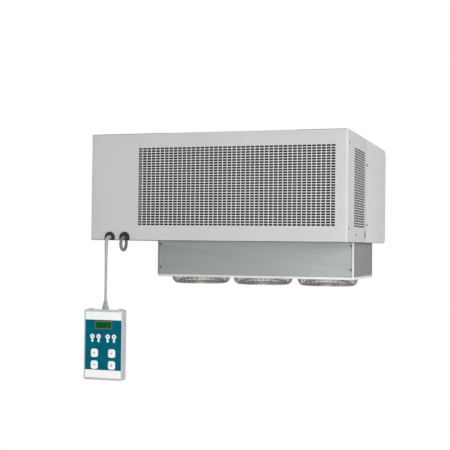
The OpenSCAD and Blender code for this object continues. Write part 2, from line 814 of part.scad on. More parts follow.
module condenser_fins() color("darkgray") difference() {
  translate([0, 0, fins_z0]) fin_block(coil_x0, coil_x1, coil_y0, coil_y1, fins_h);
  for (i = [0:coil_tubes - 1]) translate([coil_x0 - over, tube_y, tube_z0 + i * coil_pitch])
    along_x() cylinder(r = tube_r, h = coil_len + 2 * over);
}

module condenser_tubes() color([0.72, 0.45, 0.3]) {
  out = end_plate + coil_stub;
  for (i = [0:coil_tubes - 1]) translate([coil_x0 - out, tube_y, tube_z0 + i * coil_pitch])
    along_x() cylinder(r = tube_r, h = coil_len + 2 * out);
  for (i = [0:2:coil_tubes - 2])
    coil_bend(coil_x1 + out, tube_y, tube_z0 + (i + 0.5) * coil_pitch, coil_pitch, 1);
  for (i = [1:2:coil_tubes - 3])
    coil_bend(coil_x0 - out, tube_y, tube_z0 + (i + 0.5) * coil_pitch, coil_pitch, -1);
}

module coil_end_plates() color("silver") {
  for (x = [coil_x0 - end_plate, coil_x1]) sideways(x, end_plate) difference() {
    translate([coil_y0 - sheet, base_t]) square([shroud_y - coil_y0 + sheet, panel_h - base_t - sheet]);
    for (i = [0:coil_tubes - 1]) translate([tube_y, tube_z0 + i * coil_pitch]) circle(tube_r);
  }
  for (x = [evap_x0 - end_plate, evap_x1]) sideways(x, end_plate) difference() {
    translate([heater_y - plate_lap - heater_r, tray_floor])
      square([evap_y1 + plate_lap - heater_y + plate_lap + heater_r, base_t - tray_floor]);
    evap_places() circle(tube_r);
    heater_places() circle(heater_r);
  }
}

module fan_shroud() color([0.6, 0.6, 0.62]) {
  upright(shroud_y - sheet, sheet) difference() {
    translate([coil_x0, base_t]) square([coil_len, panel_h - base_t - sheet]);
    for (x = cond_fan_x) translate([x, cond_fan_z]) circle(cond_ring_r);
  }
  for (x = cond_fan_x) translate([x, shroud_y - sheet, cond_fan_z]) along_y() difference() {
    cylinder(r = cond_ring_r + ring_t, h = cond_ring_depth + sheet);
    translate([0, 0, -over]) cylinder(r = cond_ring_r, h = cond_ring_depth + sheet + 2 * over);
  }
}

module motor_brackets() color([0.35, 0.35, 0.37]) {
  for (x = cond_fan_x) translate([x, cond_strap_y - strap_t, cond_fan_z]) along_y()
    motor_strap(cond_ring_r + strap_reach, cond_strap_y - strap_t - shroud_y);
  for (x = evap_fan_x) translate([x, evap_fan_y, evap_strap_z])
    motor_strap(evap_ring_r + strap_reach, evap_strap_z - tray_floor);
}

module condenser_motors() color([0.2, 0.2, 0.22]) for (x = cond_fan_x)
  translate([x, cond_strap_y, cond_fan_z]) along_y() fan_motor(cond_motor_r, cond_motor_l);

module condenser_fan(i) {
  shaft_end = cond_strap_y - shroud_y + shaft_in;
  translate([cond_fan_x[i], shroud_y, cond_fan_z]) along_y()
    axial_fan(cond_ring_r - cond_tip_gap, cond_hub_r, cond_hub_l, fan_blades, shaft_end);
}

module left_condenser_fan() color([0.15, 0.15, 0.15]) condenser_fan(0);
module right_condenser_fan() color([0.15, 0.15, 0.15]) condenser_fan(1);

// Compressor and refrigerant pieces

module compressor() color([0.12, 0.12, 0.13]) translate([comp_x, comp_y, comp_z]) {
  translate([0, 0, foot_t]) drum(comp_r, comp_h, comp_edge);
  translate([0, 0, foot_t + (comp_h - belt_h) / 2]) cylinder(r = comp_r + belt_w, h = belt_h);
  linear_extrude(foot_t) difference() {
    union() {
      circle(comp_r - comp_edge + belt_h);
      rounded_rect(2 * (foot_reach + foot_pad), 2 * (foot_reach + foot_pad), foot_pad);
    }
    foot_places() circle(foot_hole_r);
  }
}

module foot_places() for (x = [-1, 1], y = [-1, 1]) translate([x * foot_reach, y * foot_reach]) children();

module compressor_mounts() color([0.08, 0.08, 0.08]) translate([comp_x, comp_y, base_t]) foot_places() {
  cylinder(r = mount_r, h = mount_h);
  cylinder(r = foot_hole_r, h = mount_h + foot_t);
  translate([0, 0, mount_h + foot_t]) cylinder(r = mount_cap_r, h = mount_cap_h);
}

module compressor_terminal_cover() color([0.2, 0.2, 0.2]) difference() {
  cover_z0 = comp_z + foot_t + cover_z_share * comp_h - cover_h / 2;
  translate([comp_x - cover_w / 2, comp_y - comp_r - cover_out, cover_z0])
    cube([cover_w, cover_out + comp_r / 2, cover_h]);
  translate([comp_x, comp_y, 0]) cylinder(r = comp_r + belt_w, h = casing_h);
}

module liquid_receiver() color([0.15, 0.15, 0.17]) translate([receiver_x, receiver_y, plug_top]) {
  cylinder(r = receiver_foot_r, h = receiver_foot_h + receiver_edge);
  translate([0, 0, receiver_foot_h]) drum(receiver_r, receiver_h, receiver_edge);
}

module filter_drier() color([0.75, 0.6, 0.2]) {
  translate([drier_x0, receiver_y, liquid_z]) along_x() drum(drier_r, drier_l, drier_r / 2);
  translate([(drier_x0 + drier_x1 - drier_foot_w) / 2, receiver_y - drier_foot_w / 2, plug_top])
    cube([drier_foot_w, drier_foot_w, liquid_z - plug_top - drier_r / 2]);
}

module expansion_valve() color("goldenrod") translate([valve_x, receiver_y, liquid_z]) {
  translate([-valve_w / 2, -valve_w / 2, -valve_h / 2]) cube([valve_w, valve_w, valve_h]);
  translate([0, 0, valve_h / 2]) cylinder(r = valve_cap_r / 2, h = valve_cap_h);
  translate([0, 0, valve_h / 2 + valve_cap_h / 2]) cylinder(r = valve_cap_r, h = valve_cap_h / 2);
}

module discharge_line() color([0.72, 0.45, 0.3]) pipe([
  [discharge_x, comp_y, comp_top],
  [discharge_x, comp_y, tube_top_z],
  [side_pipe_x, comp_y, tube_top_z],
  [side_pipe_x, tube_y, tube_top_z],
  [coil_x0 - end_plate - coil_stub, tube_y, tube_top_z]
], pipe_d, [0, 1, 0], pipe_bend / 2);

module liquid_line() color([0.72, 0.45, 0.3]) {
  pipe([
    [coil_x0 - end_plate - coil_stub, tube_y, tube_z0],
    [side_pipe_x, tube_y, tube_z0],
    [side_pipe_x, box_y0 - 2 * plug_lap, tube_z0],
    [side_pipe_x, box_y0 - 2 * plug_lap, liquid_run_z],
    [side_pipe_x, liquid_run_y, liquid_run_z],
    [receiver_x, liquid_run_y, liquid_run_z],
    [receiver_x, receiver_y - receiver_r, liquid_run_z]
  ], pipe_d, [0, 0, 1], pipe_bend / 2);
  for (x = [[receiver_x - receiver_r, drier_x1], [drier_x0, valve_x + valve_w / 2]])
    translate([x[1], receiver_y, liquid_z]) along_x() cylinder(r = pipe_d / 2, h = x[0] - x[1]);
  pipe([
    [valve_x, receiver_y, liquid_z - valve_h / 2],
    [valve_x, receiver_y, feed_z],
    [feed_x, receiver_y, feed_z],
    [feed_x, evap_y0 + evap_pitch / 2, feed_z],
    [feed_x, evap_y0 + evap_pitch / 2, evap_top - evap_pitch / 2],
    [evap_x0 - end_plate - coil_stub, evap_y0 + evap_pitch / 2, evap_top - evap_pitch / 2]
  ], pipe_d, [1, 0, 0], pipe_bend / 2);
}

module suction_line() color([0.72, 0.45, 0.3]) pipe([
  [evap_x0 - end_plate - coil_stub, suction_y, evap_top - evap_pitch / 2],
  [suction_x, suction_y, evap_top - evap_pitch / 2],
  [suction_x, suction_y, suction_z],
  [suction_x, comp_y, suction_z],
  [comp_x + comp_r, comp_y, suction_z]
], suction_d, [0, 0, 1], pipe_bend);

// Evaporator box pieces

module insulated_plug() color([0.9, 0.9, 0.88]) difference() {
  translate([box_x0 - plug_lap, box_y0 - plug_lap, base_t])
    cube([box_w + 2 * plug_lap, box_d + 2 * plug_lap, plug_t]);
  for (p = [[suction_x, suction_y, suction_d], [valve_x, receiver_y, pipe_d]])
    translate([p[0], p[1], 0]) cylinder(r = p[2] / 2 + loose, h = plug_top + over);
}

module box_front_wall() color([0.62, 0.65, 0.68]) difference() {
  union() {
    translate([box_x0 + sheet, box_y0 + sheet, -box_h]) cube([box_w - 2 * sheet, sheet, box_h + base_t]);
    translate([box_x0 + box_flange + sheet, box_y0 + sheet, base_t - sheet])
      cube([box_w - 2 * box_flange - 2 * sheet, box_flange, sheet]);
  }
  for (x = [box_x0 + box_screw_in, box_x1 - box_screw_in], z = box_screw_shares)
    translate([x, box_y0, -z * box_h]) along_y() cylinder(r = screw_r, h = box_flange);
}

module box_side_walls() color([0.58, 0.60, 0.62]) for (s = [0, 1])
  translate([(box_x0 + box_x1) / 2, 0, 0]) mirror([s, 0, 0]) difference() {
    union() {
      translate([box_w / 2 - sheet, box_y0, -box_h]) cube([sheet, box_d, box_h + base_t]);
      translate([box_w / 2 - corner_strip, box_y0, -box_h]) cube([corner_strip, sheet, box_h + base_t]);
      translate([box_w / 2 - box_flange - sheet, box_y0 + 2 * sheet, 0]) {
        translate([0, 0, -box_h]) cube([box_flange + sheet, sheet, box_h + base_t - sheet]);
        translate([0, 0, base_t - sheet]) cube([box_flange, box_d - 4 * sheet, sheet]);
      }
    }
    for (z = box_screw_shares) translate([box_w / 2 - box_screw_in, box_y0, -z * box_h])
      along_y() cylinder(r = screw_r, h = box_flange);
  }

module box_rear_grille() color([0.62, 0.65, 0.68]) upright(box_y1 - sheet, sheet) difference() {
  translate([box_x0 + sheet, -box_h]) square([box_w - 2 * sheet, box_h + base_t]);
  slot_w = (box_w - 2 * rear_edge + rear_web) / rear_slots;
  row_pitch = (box_h - 2 * rear_edge + rear_row_h) / rear_rows;
  for (i = [0:rear_slots - 1], j = [0:rear_rows - 1])
    translate([box_x0 + rear_edge + i * slot_w, -box_h + rear_edge + j * row_pitch])
      square([slot_w - rear_web, rear_row_h]);
}

module fan_tray() color([0.9, 0.9, 0.88]) difference() {
  union() {
    difference() {
      translate([box_x0, box_y0, tray_z]) cube([box_w, box_d, tray_rim]);
      translate([box_x0 + tray_t, box_y0 + tray_t, tray_floor])
        cube([box_w - 2 * tray_t, box_d - 2 * tray_t, tray_rim + over]);
    }
    for (x = evap_fan_x)
      translate([x, evap_fan_y, tray_z]) cylinder(r = evap_ring_r + ring_t, h = evap_ring_h + tray_t);
    translate([box_x0 + drain_in, box_y1 - drain_in, tray_z - drain_l])
      cylinder(r = drain_r, h = drain_l + tray_t);
  }
  for (x = evap_fan_x) translate([x, evap_fan_y, tray_z - over])
    cylinder(r = evap_ring_r, h = evap_ring_h + tray_t + 2 * over);
  translate([box_x0 + drain_in, box_y1 - drain_in, tray_z - drain_l - over])
    cylinder(r = drain_r - drain_wall, h = drain_l + tray_t + 2 * over);
}

module evap_places() for (r = [0:evap_rows - 1], i = [0:evap_levels - 1])
  translate([evap_y0 + (r + 0.5) * evap_pitch, evap_top - (i + 0.5) * evap_pitch]) children();

module heater_places() for (i = [0.5, evap_levels - 0.5])
  translate([heater_y, evap_top - i * evap_pitch]) children();

module evaporator_fins() color("darkgray") difference() {
  translate([0, 0, evap_top - evap_levels * evap_pitch])
    fin_block(evap_x0, evap_x1, evap_y0, evap_y1, evap_levels * evap_pitch);
  sideways(evap_x0 - over, evap_len + 2 * over) evap_places() circle(tube_r);
}

module evaporator_tubes() color([0.72, 0.45, 0.3]) {
  out = end_plate + coil_stub;
  sideways(evap_x0 - out, evap_len + 2 * out) evap_places() circle(tube_r);
  for (r = [0:evap_rows - 1]) {
    y = evap_y0 + (r + 0.5) * evap_pitch;
    for (i = [0:2:evap_levels - 2])
      coil_bend(evap_x1 + out, y, evap_top - (i + 1) * evap_pitch, evap_pitch, 1);
    for (i = [1:2:evap_levels - 3])
      coil_bend(evap_x0 - out, y, evap_top - (i + 1) * evap_pitch, evap_pitch, -1);
  }
  low_z = evap_top - (evap_levels - 0.5) * evap_pitch;
  coil_bend(evap_x0 - out, evap_y0 + evap_pitch, low_z, evap_pitch, -1, 90);
}

module defrost_heater() color([0.4, 0.4, 0.42]) {
  run = (evap_levels - 1) * evap_pitch;
  out = end_plate + coil_stub;
  low_z = evap_top - (evap_levels - 0.5) * evap_pitch - heater_header_r;
  sideways(evap_x0 - out, evap_len + 2 * out) heater_places() circle(heater_r);
  translate([evap_x1 + out, heater_y, low_z])
    cylinder(r = heater_header_r, h = run + 2 * heater_header_r);
}

module evaporator_motors() color([0.2, 0.2, 0.22]) for (x = evap_fan_x)
  translate([x, evap_fan_y, evap_strap_z + strap_t]) fan_motor(evap_motor_r, evap_motor_l);

module evaporator_fan(i) {
  shaft_end = evap_strap_z - tray_floor + strap_t + shaft_in;
  translate([evap_fan_x[i], evap_fan_y, tray_floor])
    axial_fan(evap_ring_r - evap_tip_gap, evap_hub_r, evap_hub_l, fan_blades, shaft_end);
}

module left_evaporator_fan() color([0.75, 0.76, 0.78]) evaporator_fan(0);
module middle_evaporator_fan() color([0.75, 0.76, 0.78]) evaporator_fan(1);
module right_evaporator_fan() color([0.75, 0.76, 0.78]) evaporator_fan(2);

// Guard of rings and spokes that hangs from z = 0
module fan_guard() {
  flat_r = guard_r - guard_slope;
  step = (flat_r - guard_hub_r) / guard_rings;
  translate([0, 0, -guard_depth]) linear_extrude(wire) {
    circle(guard_hub_r);
    for (i = [1:guard_rings]) difference() {
      circle(guard_hub_r + i * step);
      circle(guard_hub_r + i * step - wire);
    }
    for (i = [0:guard_spokes / 2 - 1])
      rotate(i * 360 / guard_spokes) square([2 * flat_r - wire, wire], center = true);
  }
  translate([0, 0, -wire]) linear_extrude(wire) difference() {
    circle(guard_r);
    circle(guard_r - wire);
  }
  for (i = [0:guard_spokes - 1]) rotate([0, 0, i * 360 / guard_spokes]) rotate([90, 0, 0])
    translate([0, 0, -wire / 2]) linear_extrude(wire)
      polygon([
        [flat_r - wire, -guard_depth], [flat_r, -guard_depth],
        [guard_r, -wire], [guard_r, 0], [guard_r - wire, 0]
      ]);
}

module fan_guards() color([0.8, 0.82, 0.84])
  for (x = evap_fan_x) translate([x, evap_fan_y, tray_z]) fan_guard();

// Handset pieces

module key_places() {
  for (x = [-1, 1], z = [key_upper_share, key_lower_share])
    translate([remote_x + x * key_dx_share * remote_w, remote_cz + z * remote_h]) children();
}

module display_place()
  translate([remote_x, remote_cz + display_share * remote_h]) square([display_w, display_h], center = true);

// Outline of the handset, moved in by inset
module remote_outline(inset) translate([remote_x, remote_cz])
  rounded_rect(remote_w - 2 * inset, remote_h - 2 * inset, remote_r - inset);

module remote_back_shell() color([0.82, 0.82, 0.83]) difference() {
  boss_x = remote_w / 2 - remote_r - boss_r;
  boss_z = remote_h / 2 - remote_r - boss_r;
  union() {
    difference() {
      upright(remote_y, remote_t / 2) remote_outline(0);
      upright(remote_y - over, remote_t / 2 - remote_wall + over) remote_outline(remote_wall);
    }
    for (x = [-1, 1])
      translate([remote_x + x * lug_in_share * remote_w - lug_w / 2, remote_y, remote_top - remote_r / 2])
        cube([lug_w, remote_t / 3, remote_r / 2 + lug_h]);
    for (x = [-1, 1], z = [-1, 1])
      translate([remote_x + x * boss_x, remote_board_y + remote_board_t, remote_cz + z * boss_z])
        along_y() cylinder(r = boss_r, h = boss_end - remote_board_y - remote_board_t);
  }
  for (x = [-1, 1])
    translate([remote_x + x * wall_hole_spacing / 2, remote_y, remote_cz + wall_hole_up_share * remote_h])
      along_y() cylinder(r = wall_hole_r, h = remote_t);
}

module remote_front_shell() color([0.82, 0.82, 0.83]) difference() {
  upright(remote_y0, remote_t / 2) remote_outline(0);
  upright(remote_y0 + remote_wall, remote_t / 2) remote_outline(remote_wall);
  upright(remote_y0 - over, over + overlay_t) overlay_outline();
  upright(remote_y0 - over, remote_wall + 2 * over) overlay_holes();
}

module overlay_outline() translate([remote_x, remote_cz]) square([overlay_w, overlay_h], center = true);

module overlay_holes() {
  key_places() rounded_rect(key_w + 2 * loose, key_h + 2 * loose, key_r + loose);
  display_place();
}

module remote_overlay() color([0, 0.37, 0.47]) upright(remote_y0, overlay_t) difference() {
  overlay_outline();
  overlay_holes();
}

module remote_display() color([0.08, 0.33, 0.1])
  upright(remote_y0 + indicator_t, remote_wall - indicator_t) display_place();

module remote_indicators() color("white") upright(remote_y0 - indicator_t, indicator_t)
  for (x = indicator_dx_shares) translate([remote_x + x * remote_w, remote_cz + indicator_share * remote_h]) {
    circle(indicator_r);
    translate([0, -lamp_drop]) circle(lamp_r);
    polygon([
      [-lamp_r, -indicator_r / 2], [lamp_r, -indicator_r / 2],
      [lamp_r / 2, -lamp_drop], [-lamp_r / 2, -lamp_drop]
    ]);
  }

module remote_board() color([0.1, 0.45, 0.2]) {
  upright(remote_board_y, remote_board_t) translate([remote_x, remote_cz])
    square([remote_w - 2 * remote_r, remote_h - 2 * remote_r], center = true);
  upright(remote_board_y - switch_h, switch_h) key_places() square(switch_w, center = true);
}

module key(x, z_share) {
  place = [remote_x + x * key_dx_share * remote_w, remote_cz + z_share * remote_h];
  face_y = remote_y0 - key_proud;
  flange_y = remote_y0 + remote_wall + key_lift;
  stem_end = remote_board_y - switch_h - key_travel - loose;
  color("white") {
    upright(face_y, flange_y + key_flange_t - face_y) translate(place) rounded_rect(key_w, key_h, key_r);
    upright(flange_y, key_flange_t) translate(place)
      rounded_rect(key_w + 2 * key_flange, key_h + 2 * key_flange, key_r + key_flange);
    if (stem_end > flange_y + key_flange_t)
      upright(flange_y + key_flange_t, stem_end - flange_y - key_flange_t)
        translate(place) circle(key_stem_r);
  }
}

module upper_left_key() key(-1, key_upper_share);
module upper_right_key() key(1, key_upper_share);
module lower_left_key() key(-1, key_lower_share);
module lower_right_key() key(1, key_lower_share);

module strain_relief() color([0.7, 0.7, 0.7]) translate([remote_x, remote_y, remote_top])
  cylinder(r1 = gland_r, r2 = gland_neck_r, h = gland_l);

base_plate();
front_panel();
right_side_panel();
left_side_panel();
top_panel();
rear_cover();
corner_posts();
seam_frame();
panel_screws();
control_grommet();
supply_grommet();
supply_cord_clip();
supply_cord();
electrical_box();
electrical_box_lid();
contactor();
terminal_block();
power_board();
condenser_fins();
condenser_tubes();
coil_end_plates();
fan_shroud();
motor_brackets();
condenser_motors();
left_condenser_fan();
right_condenser_fan();
compressor();
compressor_terminal_cover();
compressor_mounts();
liquid_receiver();
filter_drier();
expansion_valve();
discharge_line();
liquid_line();
suction_line();
insulated_plug();
box_front_wall();
box_side_walls();
box_rear_grille();
fan_tray();
evaporator_fins();
evaporator_tubes();
defrost_heater();
evaporator_motors();
left_evaporator_fan();
middle_evaporator_fan();
right_evaporator_fan();
fan_guards();
control_cord();
strain_relief();
remote_back_shell();
remote_front_shell();
remote_overlay();
remote_display();
remote_indicators();
remote_board();
upper_left_key();
upper_right_key();
lower_left_key();
lower_right_key();
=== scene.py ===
from math import atan2, cos, pi, radians, sin

import bmesh
import bpy
from mathutils import Matrix, Vector


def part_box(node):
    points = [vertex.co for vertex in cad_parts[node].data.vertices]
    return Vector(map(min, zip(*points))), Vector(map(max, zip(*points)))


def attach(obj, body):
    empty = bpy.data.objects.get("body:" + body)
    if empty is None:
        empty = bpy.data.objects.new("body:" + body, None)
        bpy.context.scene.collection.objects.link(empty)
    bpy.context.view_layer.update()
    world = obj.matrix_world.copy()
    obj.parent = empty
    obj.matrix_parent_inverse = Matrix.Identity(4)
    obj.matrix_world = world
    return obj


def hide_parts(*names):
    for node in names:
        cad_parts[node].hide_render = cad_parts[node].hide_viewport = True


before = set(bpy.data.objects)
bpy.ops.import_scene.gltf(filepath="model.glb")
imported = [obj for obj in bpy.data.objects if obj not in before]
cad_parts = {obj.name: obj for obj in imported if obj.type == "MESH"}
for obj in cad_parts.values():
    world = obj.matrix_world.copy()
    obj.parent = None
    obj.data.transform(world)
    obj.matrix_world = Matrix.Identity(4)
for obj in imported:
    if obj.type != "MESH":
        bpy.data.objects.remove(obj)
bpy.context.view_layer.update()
scene = bpy.context.scene

# Axes and whole turns
X, Y, Z = Vector((1, 0, 0)), Vector((0, 1, 0)), Vector((0, 0, 1))
TURN = 2 * pi
FACE_FRONT = Matrix.Rotation(radians(90), 4, "X")
ALONG_Y = Matrix.Rotation(radians(-90), 4, "X")

# Distance below which two places count as one
TINY = 1e-6

# Corners of the casing's front and side panels and of the evaporator box, in metres
PANEL_LOW, PANEL_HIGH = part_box("front_panel")
SIDE_LOW, SIDE_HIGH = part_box("right_side_panel")
BOX_LOW, BOX_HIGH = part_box("box_side_walls")

# Thickness and fold radius of the casing's sheets, and the height of the screw heads
SHEET = 0.0015
CORNER = 0.008
SCREW_HEAD = 0.0022

# Rows and columns of the grilles, height of a slot, width of the webs and place of the lowest row
SLOT_ROWS = 31
ROW_PITCH = 0.0095
SLOT_HEIGHT = 0.0064
SLOT_WEB = 0.0034
GRILLE_LOW = 0.0576
FRONT_COLUMNS = 43
SIDE_COLUMNS = 12

# Plain borders beside the front grille, and the side grille's ends behind the casing's front
FRONT_BORDERS = (0.1966, 0.0456)
SIDE_GRILLE = (0.1246, 0.3304)

# Teardrop slot: middle of its round end behind the front and upwards, its radius and its tip
TEAR_MIDDLE, TEAR_LOW, TEAR_RADIUS, TEAR_TIP = 0.348, 0.026, 0.010, 0.024

# Reach of the sheet's open cell round the teardrop slot, from the middle of its round end
TEAR_CELL = 0.0108

# Middles of the two grommets along X, and half the width and the height of their notches
GROMMETS = [(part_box(node)[0].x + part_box(node)[1].x) / 2
            for node in ("control_grommet", "supply_grommet")]
NOTCH = 0.017
NOTCH_TOP = 0.025

# Radii of the cords' sheaths and of the grommets' bores
CONTROL_RADIUS, SLEEVE_RADIUS, SUPPLY_RADIUS = 0.0046, 0.0052, 0.006
BORES = {"control_grommet": 0.0054, "supply_grommet": 0.0064}

# Camera's turns in radians, its place, and its focal length and sensor width in millimetres
YAW, PITCH, ROLL = 0.2922, 0.0206, 0.0105
CAMERA_PLACE = Vector((1.156, PANEL_LOW.y - 3.297, -0.011))
FOCAL_LENGTH, SENSOR_WIDTH, SHIFT_X = 75.76, 36.0, -0.07


# Camera and cords

def make_camera():
    """Camera at its place, turned by its yaw, its pitch and then its roll."""
    forward = Vector((-sin(YAW) * cos(PITCH), cos(YAW) * cos(PITCH), sin(PITCH)))
    level = Vector((cos(YAW), sin(YAW), 0))
    upright = level.cross(forward)
    right = level * cos(ROLL) + upright * sin(ROLL)
    up = upright * cos(ROLL) - level * sin(ROLL)
    data = bpy.data.cameras.new("camera")
    data.lens, data.sensor_width, data.shift_x = FOCAL_LENGTH, SENSOR_WIDTH, SHIFT_X
    camera = bpy.data.objects.new("camera", data)
    turn = Matrix((right, up, -forward)).transposed().to_4x4()
    camera.matrix_world = Matrix.Translation(CAMERA_PLACE) @ turn
    scene.collection.objects.link(camera)
    scene.camera = camera


make_camera()

# Routes of the cords' centre lines, in metres from the middle of each grommet at the casing's front
CONTROL_ROUTE = [
    (0, 0, 0.011), (0, -0.004, 0.011), (0, -0.008, 0.011), (0, -0.016, 0.009),
    (0, -0.023, 0.005), (0, -0.028, -0.002), (0, -0.030, -0.011), (0, -0.030, -0.030),
    (0, -0.030, -0.050), (0, -0.030, -0.070), (0, -0.030, -0.090), (0, -0.030, -0.110),
    (0, -0.030, -0.130), (0, -0.030, -0.150), (0, -0.030, -0.170), (0, -0.030, -0.190),
    (0, -0.030, -0.210), (0, -0.030, -0.228),
]
SUPPLY_ROUTE = [
    (0, 0, 0.011), (0, -0.004, 0.011), (0, -0.008, 0.011), (0, -0.017, 0.009),
    (0, -0.025, 0.004), (0, -0.030, -0.004), (0, -0.032, -0.013), (0, -0.030, -0.022),
    (0, -0.025, -0.030), (0, -0.017, -0.035), (0, -0.008, -0.037), (0, 0.001, -0.035),
    (0, 0.009, -0.030), (0, 0.014, -0.022), (0, 0.016, -0.013), (0, 0.016, -0.004),
    (0, 0.016, 0.004), (0, 0.016, 0.012),
]

# Points of the route under the control cord's sleeve, and shares of its radius at both ends
SLEEVE_POINTS = 10
SLEEVE_ENDS = (1.6, 0.98)


def drawn_mesh(data):
    """Mesh of a curve's round wire, in place of the curve."""
    drawn = bpy.data.objects.new(data.name, data)
    scene.collection.objects.link(drawn)
    graph = bpy.context.evaluated_depsgraph_get()
    mesh = bpy.data.meshes.new_from_object(drawn.evaluated_get(graph))
    bpy.data.objects.remove(drawn)
    mesh.name = data.name
    bpy.data.curves.remove(data)
    return mesh


def make_cord(name, route, radius, body, ends=(1.0, 1.0)):
    """Round cord along a route, whose thickness runs from the first of ends to the last."""
    data = bpy.data.curves.new(name, "CURVE")
    data.dimensions = "3D"
    data.bevel_depth = radius
    data.bevel_resolution = 5
    data.resolution_u = 4
    data.use_fill_caps = True
    spline = data.splines.new("BEZIER")
    spline.bezier_points.add(len(route) - 1)
    for i, (point, place) in enumerate(zip(spline.bezier_points, route)):
        point.co = place
        point.handle_left_type = point.handle_right_type = "AUTO"
        point.radius = ends[0] + (ends[1] - ends[0]) * i / (len(route) - 1)
    cord = bpy.data.objects.new(name, drawn_mesh(data))
    scene.collection.objects.link(cord)
    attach(cord, body)
    return cord


control_path, supply_path = [[Vector((middle, PANEL_LOW.y, 0)) + Vector(step) for step in route]
                             for middle, route in zip(GROMMETS, (CONTROL_ROUTE, SUPPLY_ROUTE))]
control_cord = make_cord("control_cord_sheath", control_path, CONTROL_RADIUS,
                         "handset")
control_sleeve = make_cord("control_cord_sleeve", control_path[1:SLEEVE_POINTS], SLEEVE_RADIUS,
                           "handset", SLEEVE_ENDS)
supply_cord = make_cord("supply_cord_sheath", supply_path, SUPPLY_RADIUS, "unit")
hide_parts("control_cord")
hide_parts("supply_cord")


# Finishes

class Value:
    """A shader socket that takes part in sums, products and comparisons."""

    def __init__(self, finish, socket):
        self.finish = finish
        self.socket = socket

    def math(self, operation, *terms):
        return self.finish.add("ShaderNodeMath", {"operation": operation}, dict(enumerate(terms)))

    def __add__(self, other):
        return self.math("ADD", self, other)

    def __mul__(self, other):
        return self.math("MULTIPLY", self, other)

    def __gt__(self, other):
        return self.math("GREATER_THAN", self, other)

    def __lt__(self, other):
        return self.math("LESS_THAN", self, other)


class Finish:
    """A material with a Principled shader, built up node by node."""

    def __init__(self, name, color, roughness=0.5, metallic=0.0, **fixed):
        self.material = bpy.data.materials.new(name)
        self.material.use_nodes = True
        self.tree = self.material.node_tree
        self.shader = self.tree.nodes["Principled BSDF"]
        self.set("Base Color", (*color, 1.0))
        self.set("Roughness", roughness)
        self.set("Metallic", metallic)
        for socket, value in fixed.items():
            self.set(socket.replace("_", " "), value)
        self.material.diffuse_color = (*color, 1.0)

    def set(self, socket, value):
        """Gives a socket of the shader a fixed value or the output of a node."""
        if isinstance(value, Value):
            self.tree.links.new(value.socket, self.shader.inputs[socket])
        else:
            self.shader.inputs[socket].default_value = value

    def add(self, kind, settings=None, inputs=None, output=0):
        """Adds a node with its settings and inputs, and gives one of its outputs."""
        node = self.tree.nodes.new(kind)
        for key, value in (settings or {}).items():
            setattr(node, key, value)
        for key, value in (inputs or {}).items():
            if isinstance(value, Value):
                self.tree.links.new(value.socket, node.inputs[key])
            else:
                node.inputs[key].default_value = value
        return Value(self, node.outputs[output])

    def place(self, scale=(1, 1, 1)):
        """Object coordinates, in metres, times scale."""
        where = self.add("ShaderNodeTexCoord", output=3)
        return self.add("ShaderNodeVectorMath", {"operation": "MULTIPLY"}, {0: where, 1: scale})

    def along(self, axis):
        """One of the object coordinates, in metres."""
        return self.add("ShaderNodeSeparateXYZ", inputs={0: self.place()}, output="XYZ".index(axis))

    def noise(self, scale, detail=2.0, stretch=(1, 1, 1)):
        """Noise from 0 to 1, with scale spots to the metre."""
        inputs = {"Vector": self.place(stretch), "Scale": scale, "Detail": detail}
        return self.add("ShaderNodeTexNoise", inputs=inputs)

    def cells(self, scale):
        """Random grey for each cell, with scale cells to the metre."""
        inputs = {"Vector": self.place(), "Scale": scale}
        cell = self.add("ShaderNodeTexVoronoi", inputs=inputs, output=1)
        return self.add("ShaderNodeSeparateColor", inputs={0: cell})

    def range(self, value, low, high, to_low=0.0, to_high=1.0):
        """The value from low to high, spread over to_low to to_high and held there."""
        inputs = {0: value, 1: low, 2: high, 3: to_low, 4: to_high}
        return self.add("ShaderNodeMapRange", {"clamp": True}, inputs)

    def blend(self, share, first, second):
        """The colour first, turning into second as share goes from 0 to 1."""
        colors = [color if isinstance(color, Value) else (*color, 1.0) for color in (first, second)]
        inputs = {0: share, 6: colors[0], 7: colors[1]}
        return self.add("ShaderNodeMix", {"data_type": "RGBA"}, inputs, output=2)

    def bump(self, height, distance, strength=1.0):
        """Relief of the surface, up to distance in metres."""
        inputs = {"Height": height, "Distance": distance, "Strength": strength}
        self.set("Normal", self.add("ShaderNodeBump", inputs=inputs))

    def paint(self, dark, light, share):
        """Base colour from dark to light as share goes from 0 to 1."""
        self.set("Base Color", self.blend(share, dark, light))


def tinted(color, factor):
    """The colour times a factor, held at 1."""
    return tuple(min(1.0, c * factor) for c in color)


def powder_coat(name, color, roughness=0.42, painted_light_mask=None, mark=(0.12, 0.12, 0.12)):
    """Satin paint on sheet, faintly uneven, with painted light or shade in the mark colour where
    its mask is set.
    """
    finish = Finish(name, color, roughness)
    uneven = finish.range(finish.noise(3.0, 3.0), 0.3, 0.7)
    coat = finish.blend(uneven, tinted(color, 0.97), tinted(color, 1.03))
    if painted_light_mask:
        coat = finish.blend(painted_light_mask(finish), coat, mark)
    finish.set("Base Color", coat)
    finish.set("Roughness", finish.range(finish.noise(40.0), 0.3, 0.7,
                                         roughness - 0.05, roughness + 0.06))
    finish.bump(finish.noise(900.0, 1.0), 0.00005, 0.35)
    return finish.material


def zinc_sheet(name, color=(0.50, 0.51, 0.52)):
    """Galvanised sheet with its spangle."""
    finish = Finish(name, color, 0.42, 0.75)
    spangle = finish.cells(90.0)
    finish.paint(tinted(color, 0.78), tinted(color, 1.15), spangle)
    finish.set("Roughness", finish.range(spangle, 0.0, 1.0, 0.34, 0.52))
    finish.bump(finish.noise(300.0), 0.00005, 0.2)
    return finish.material


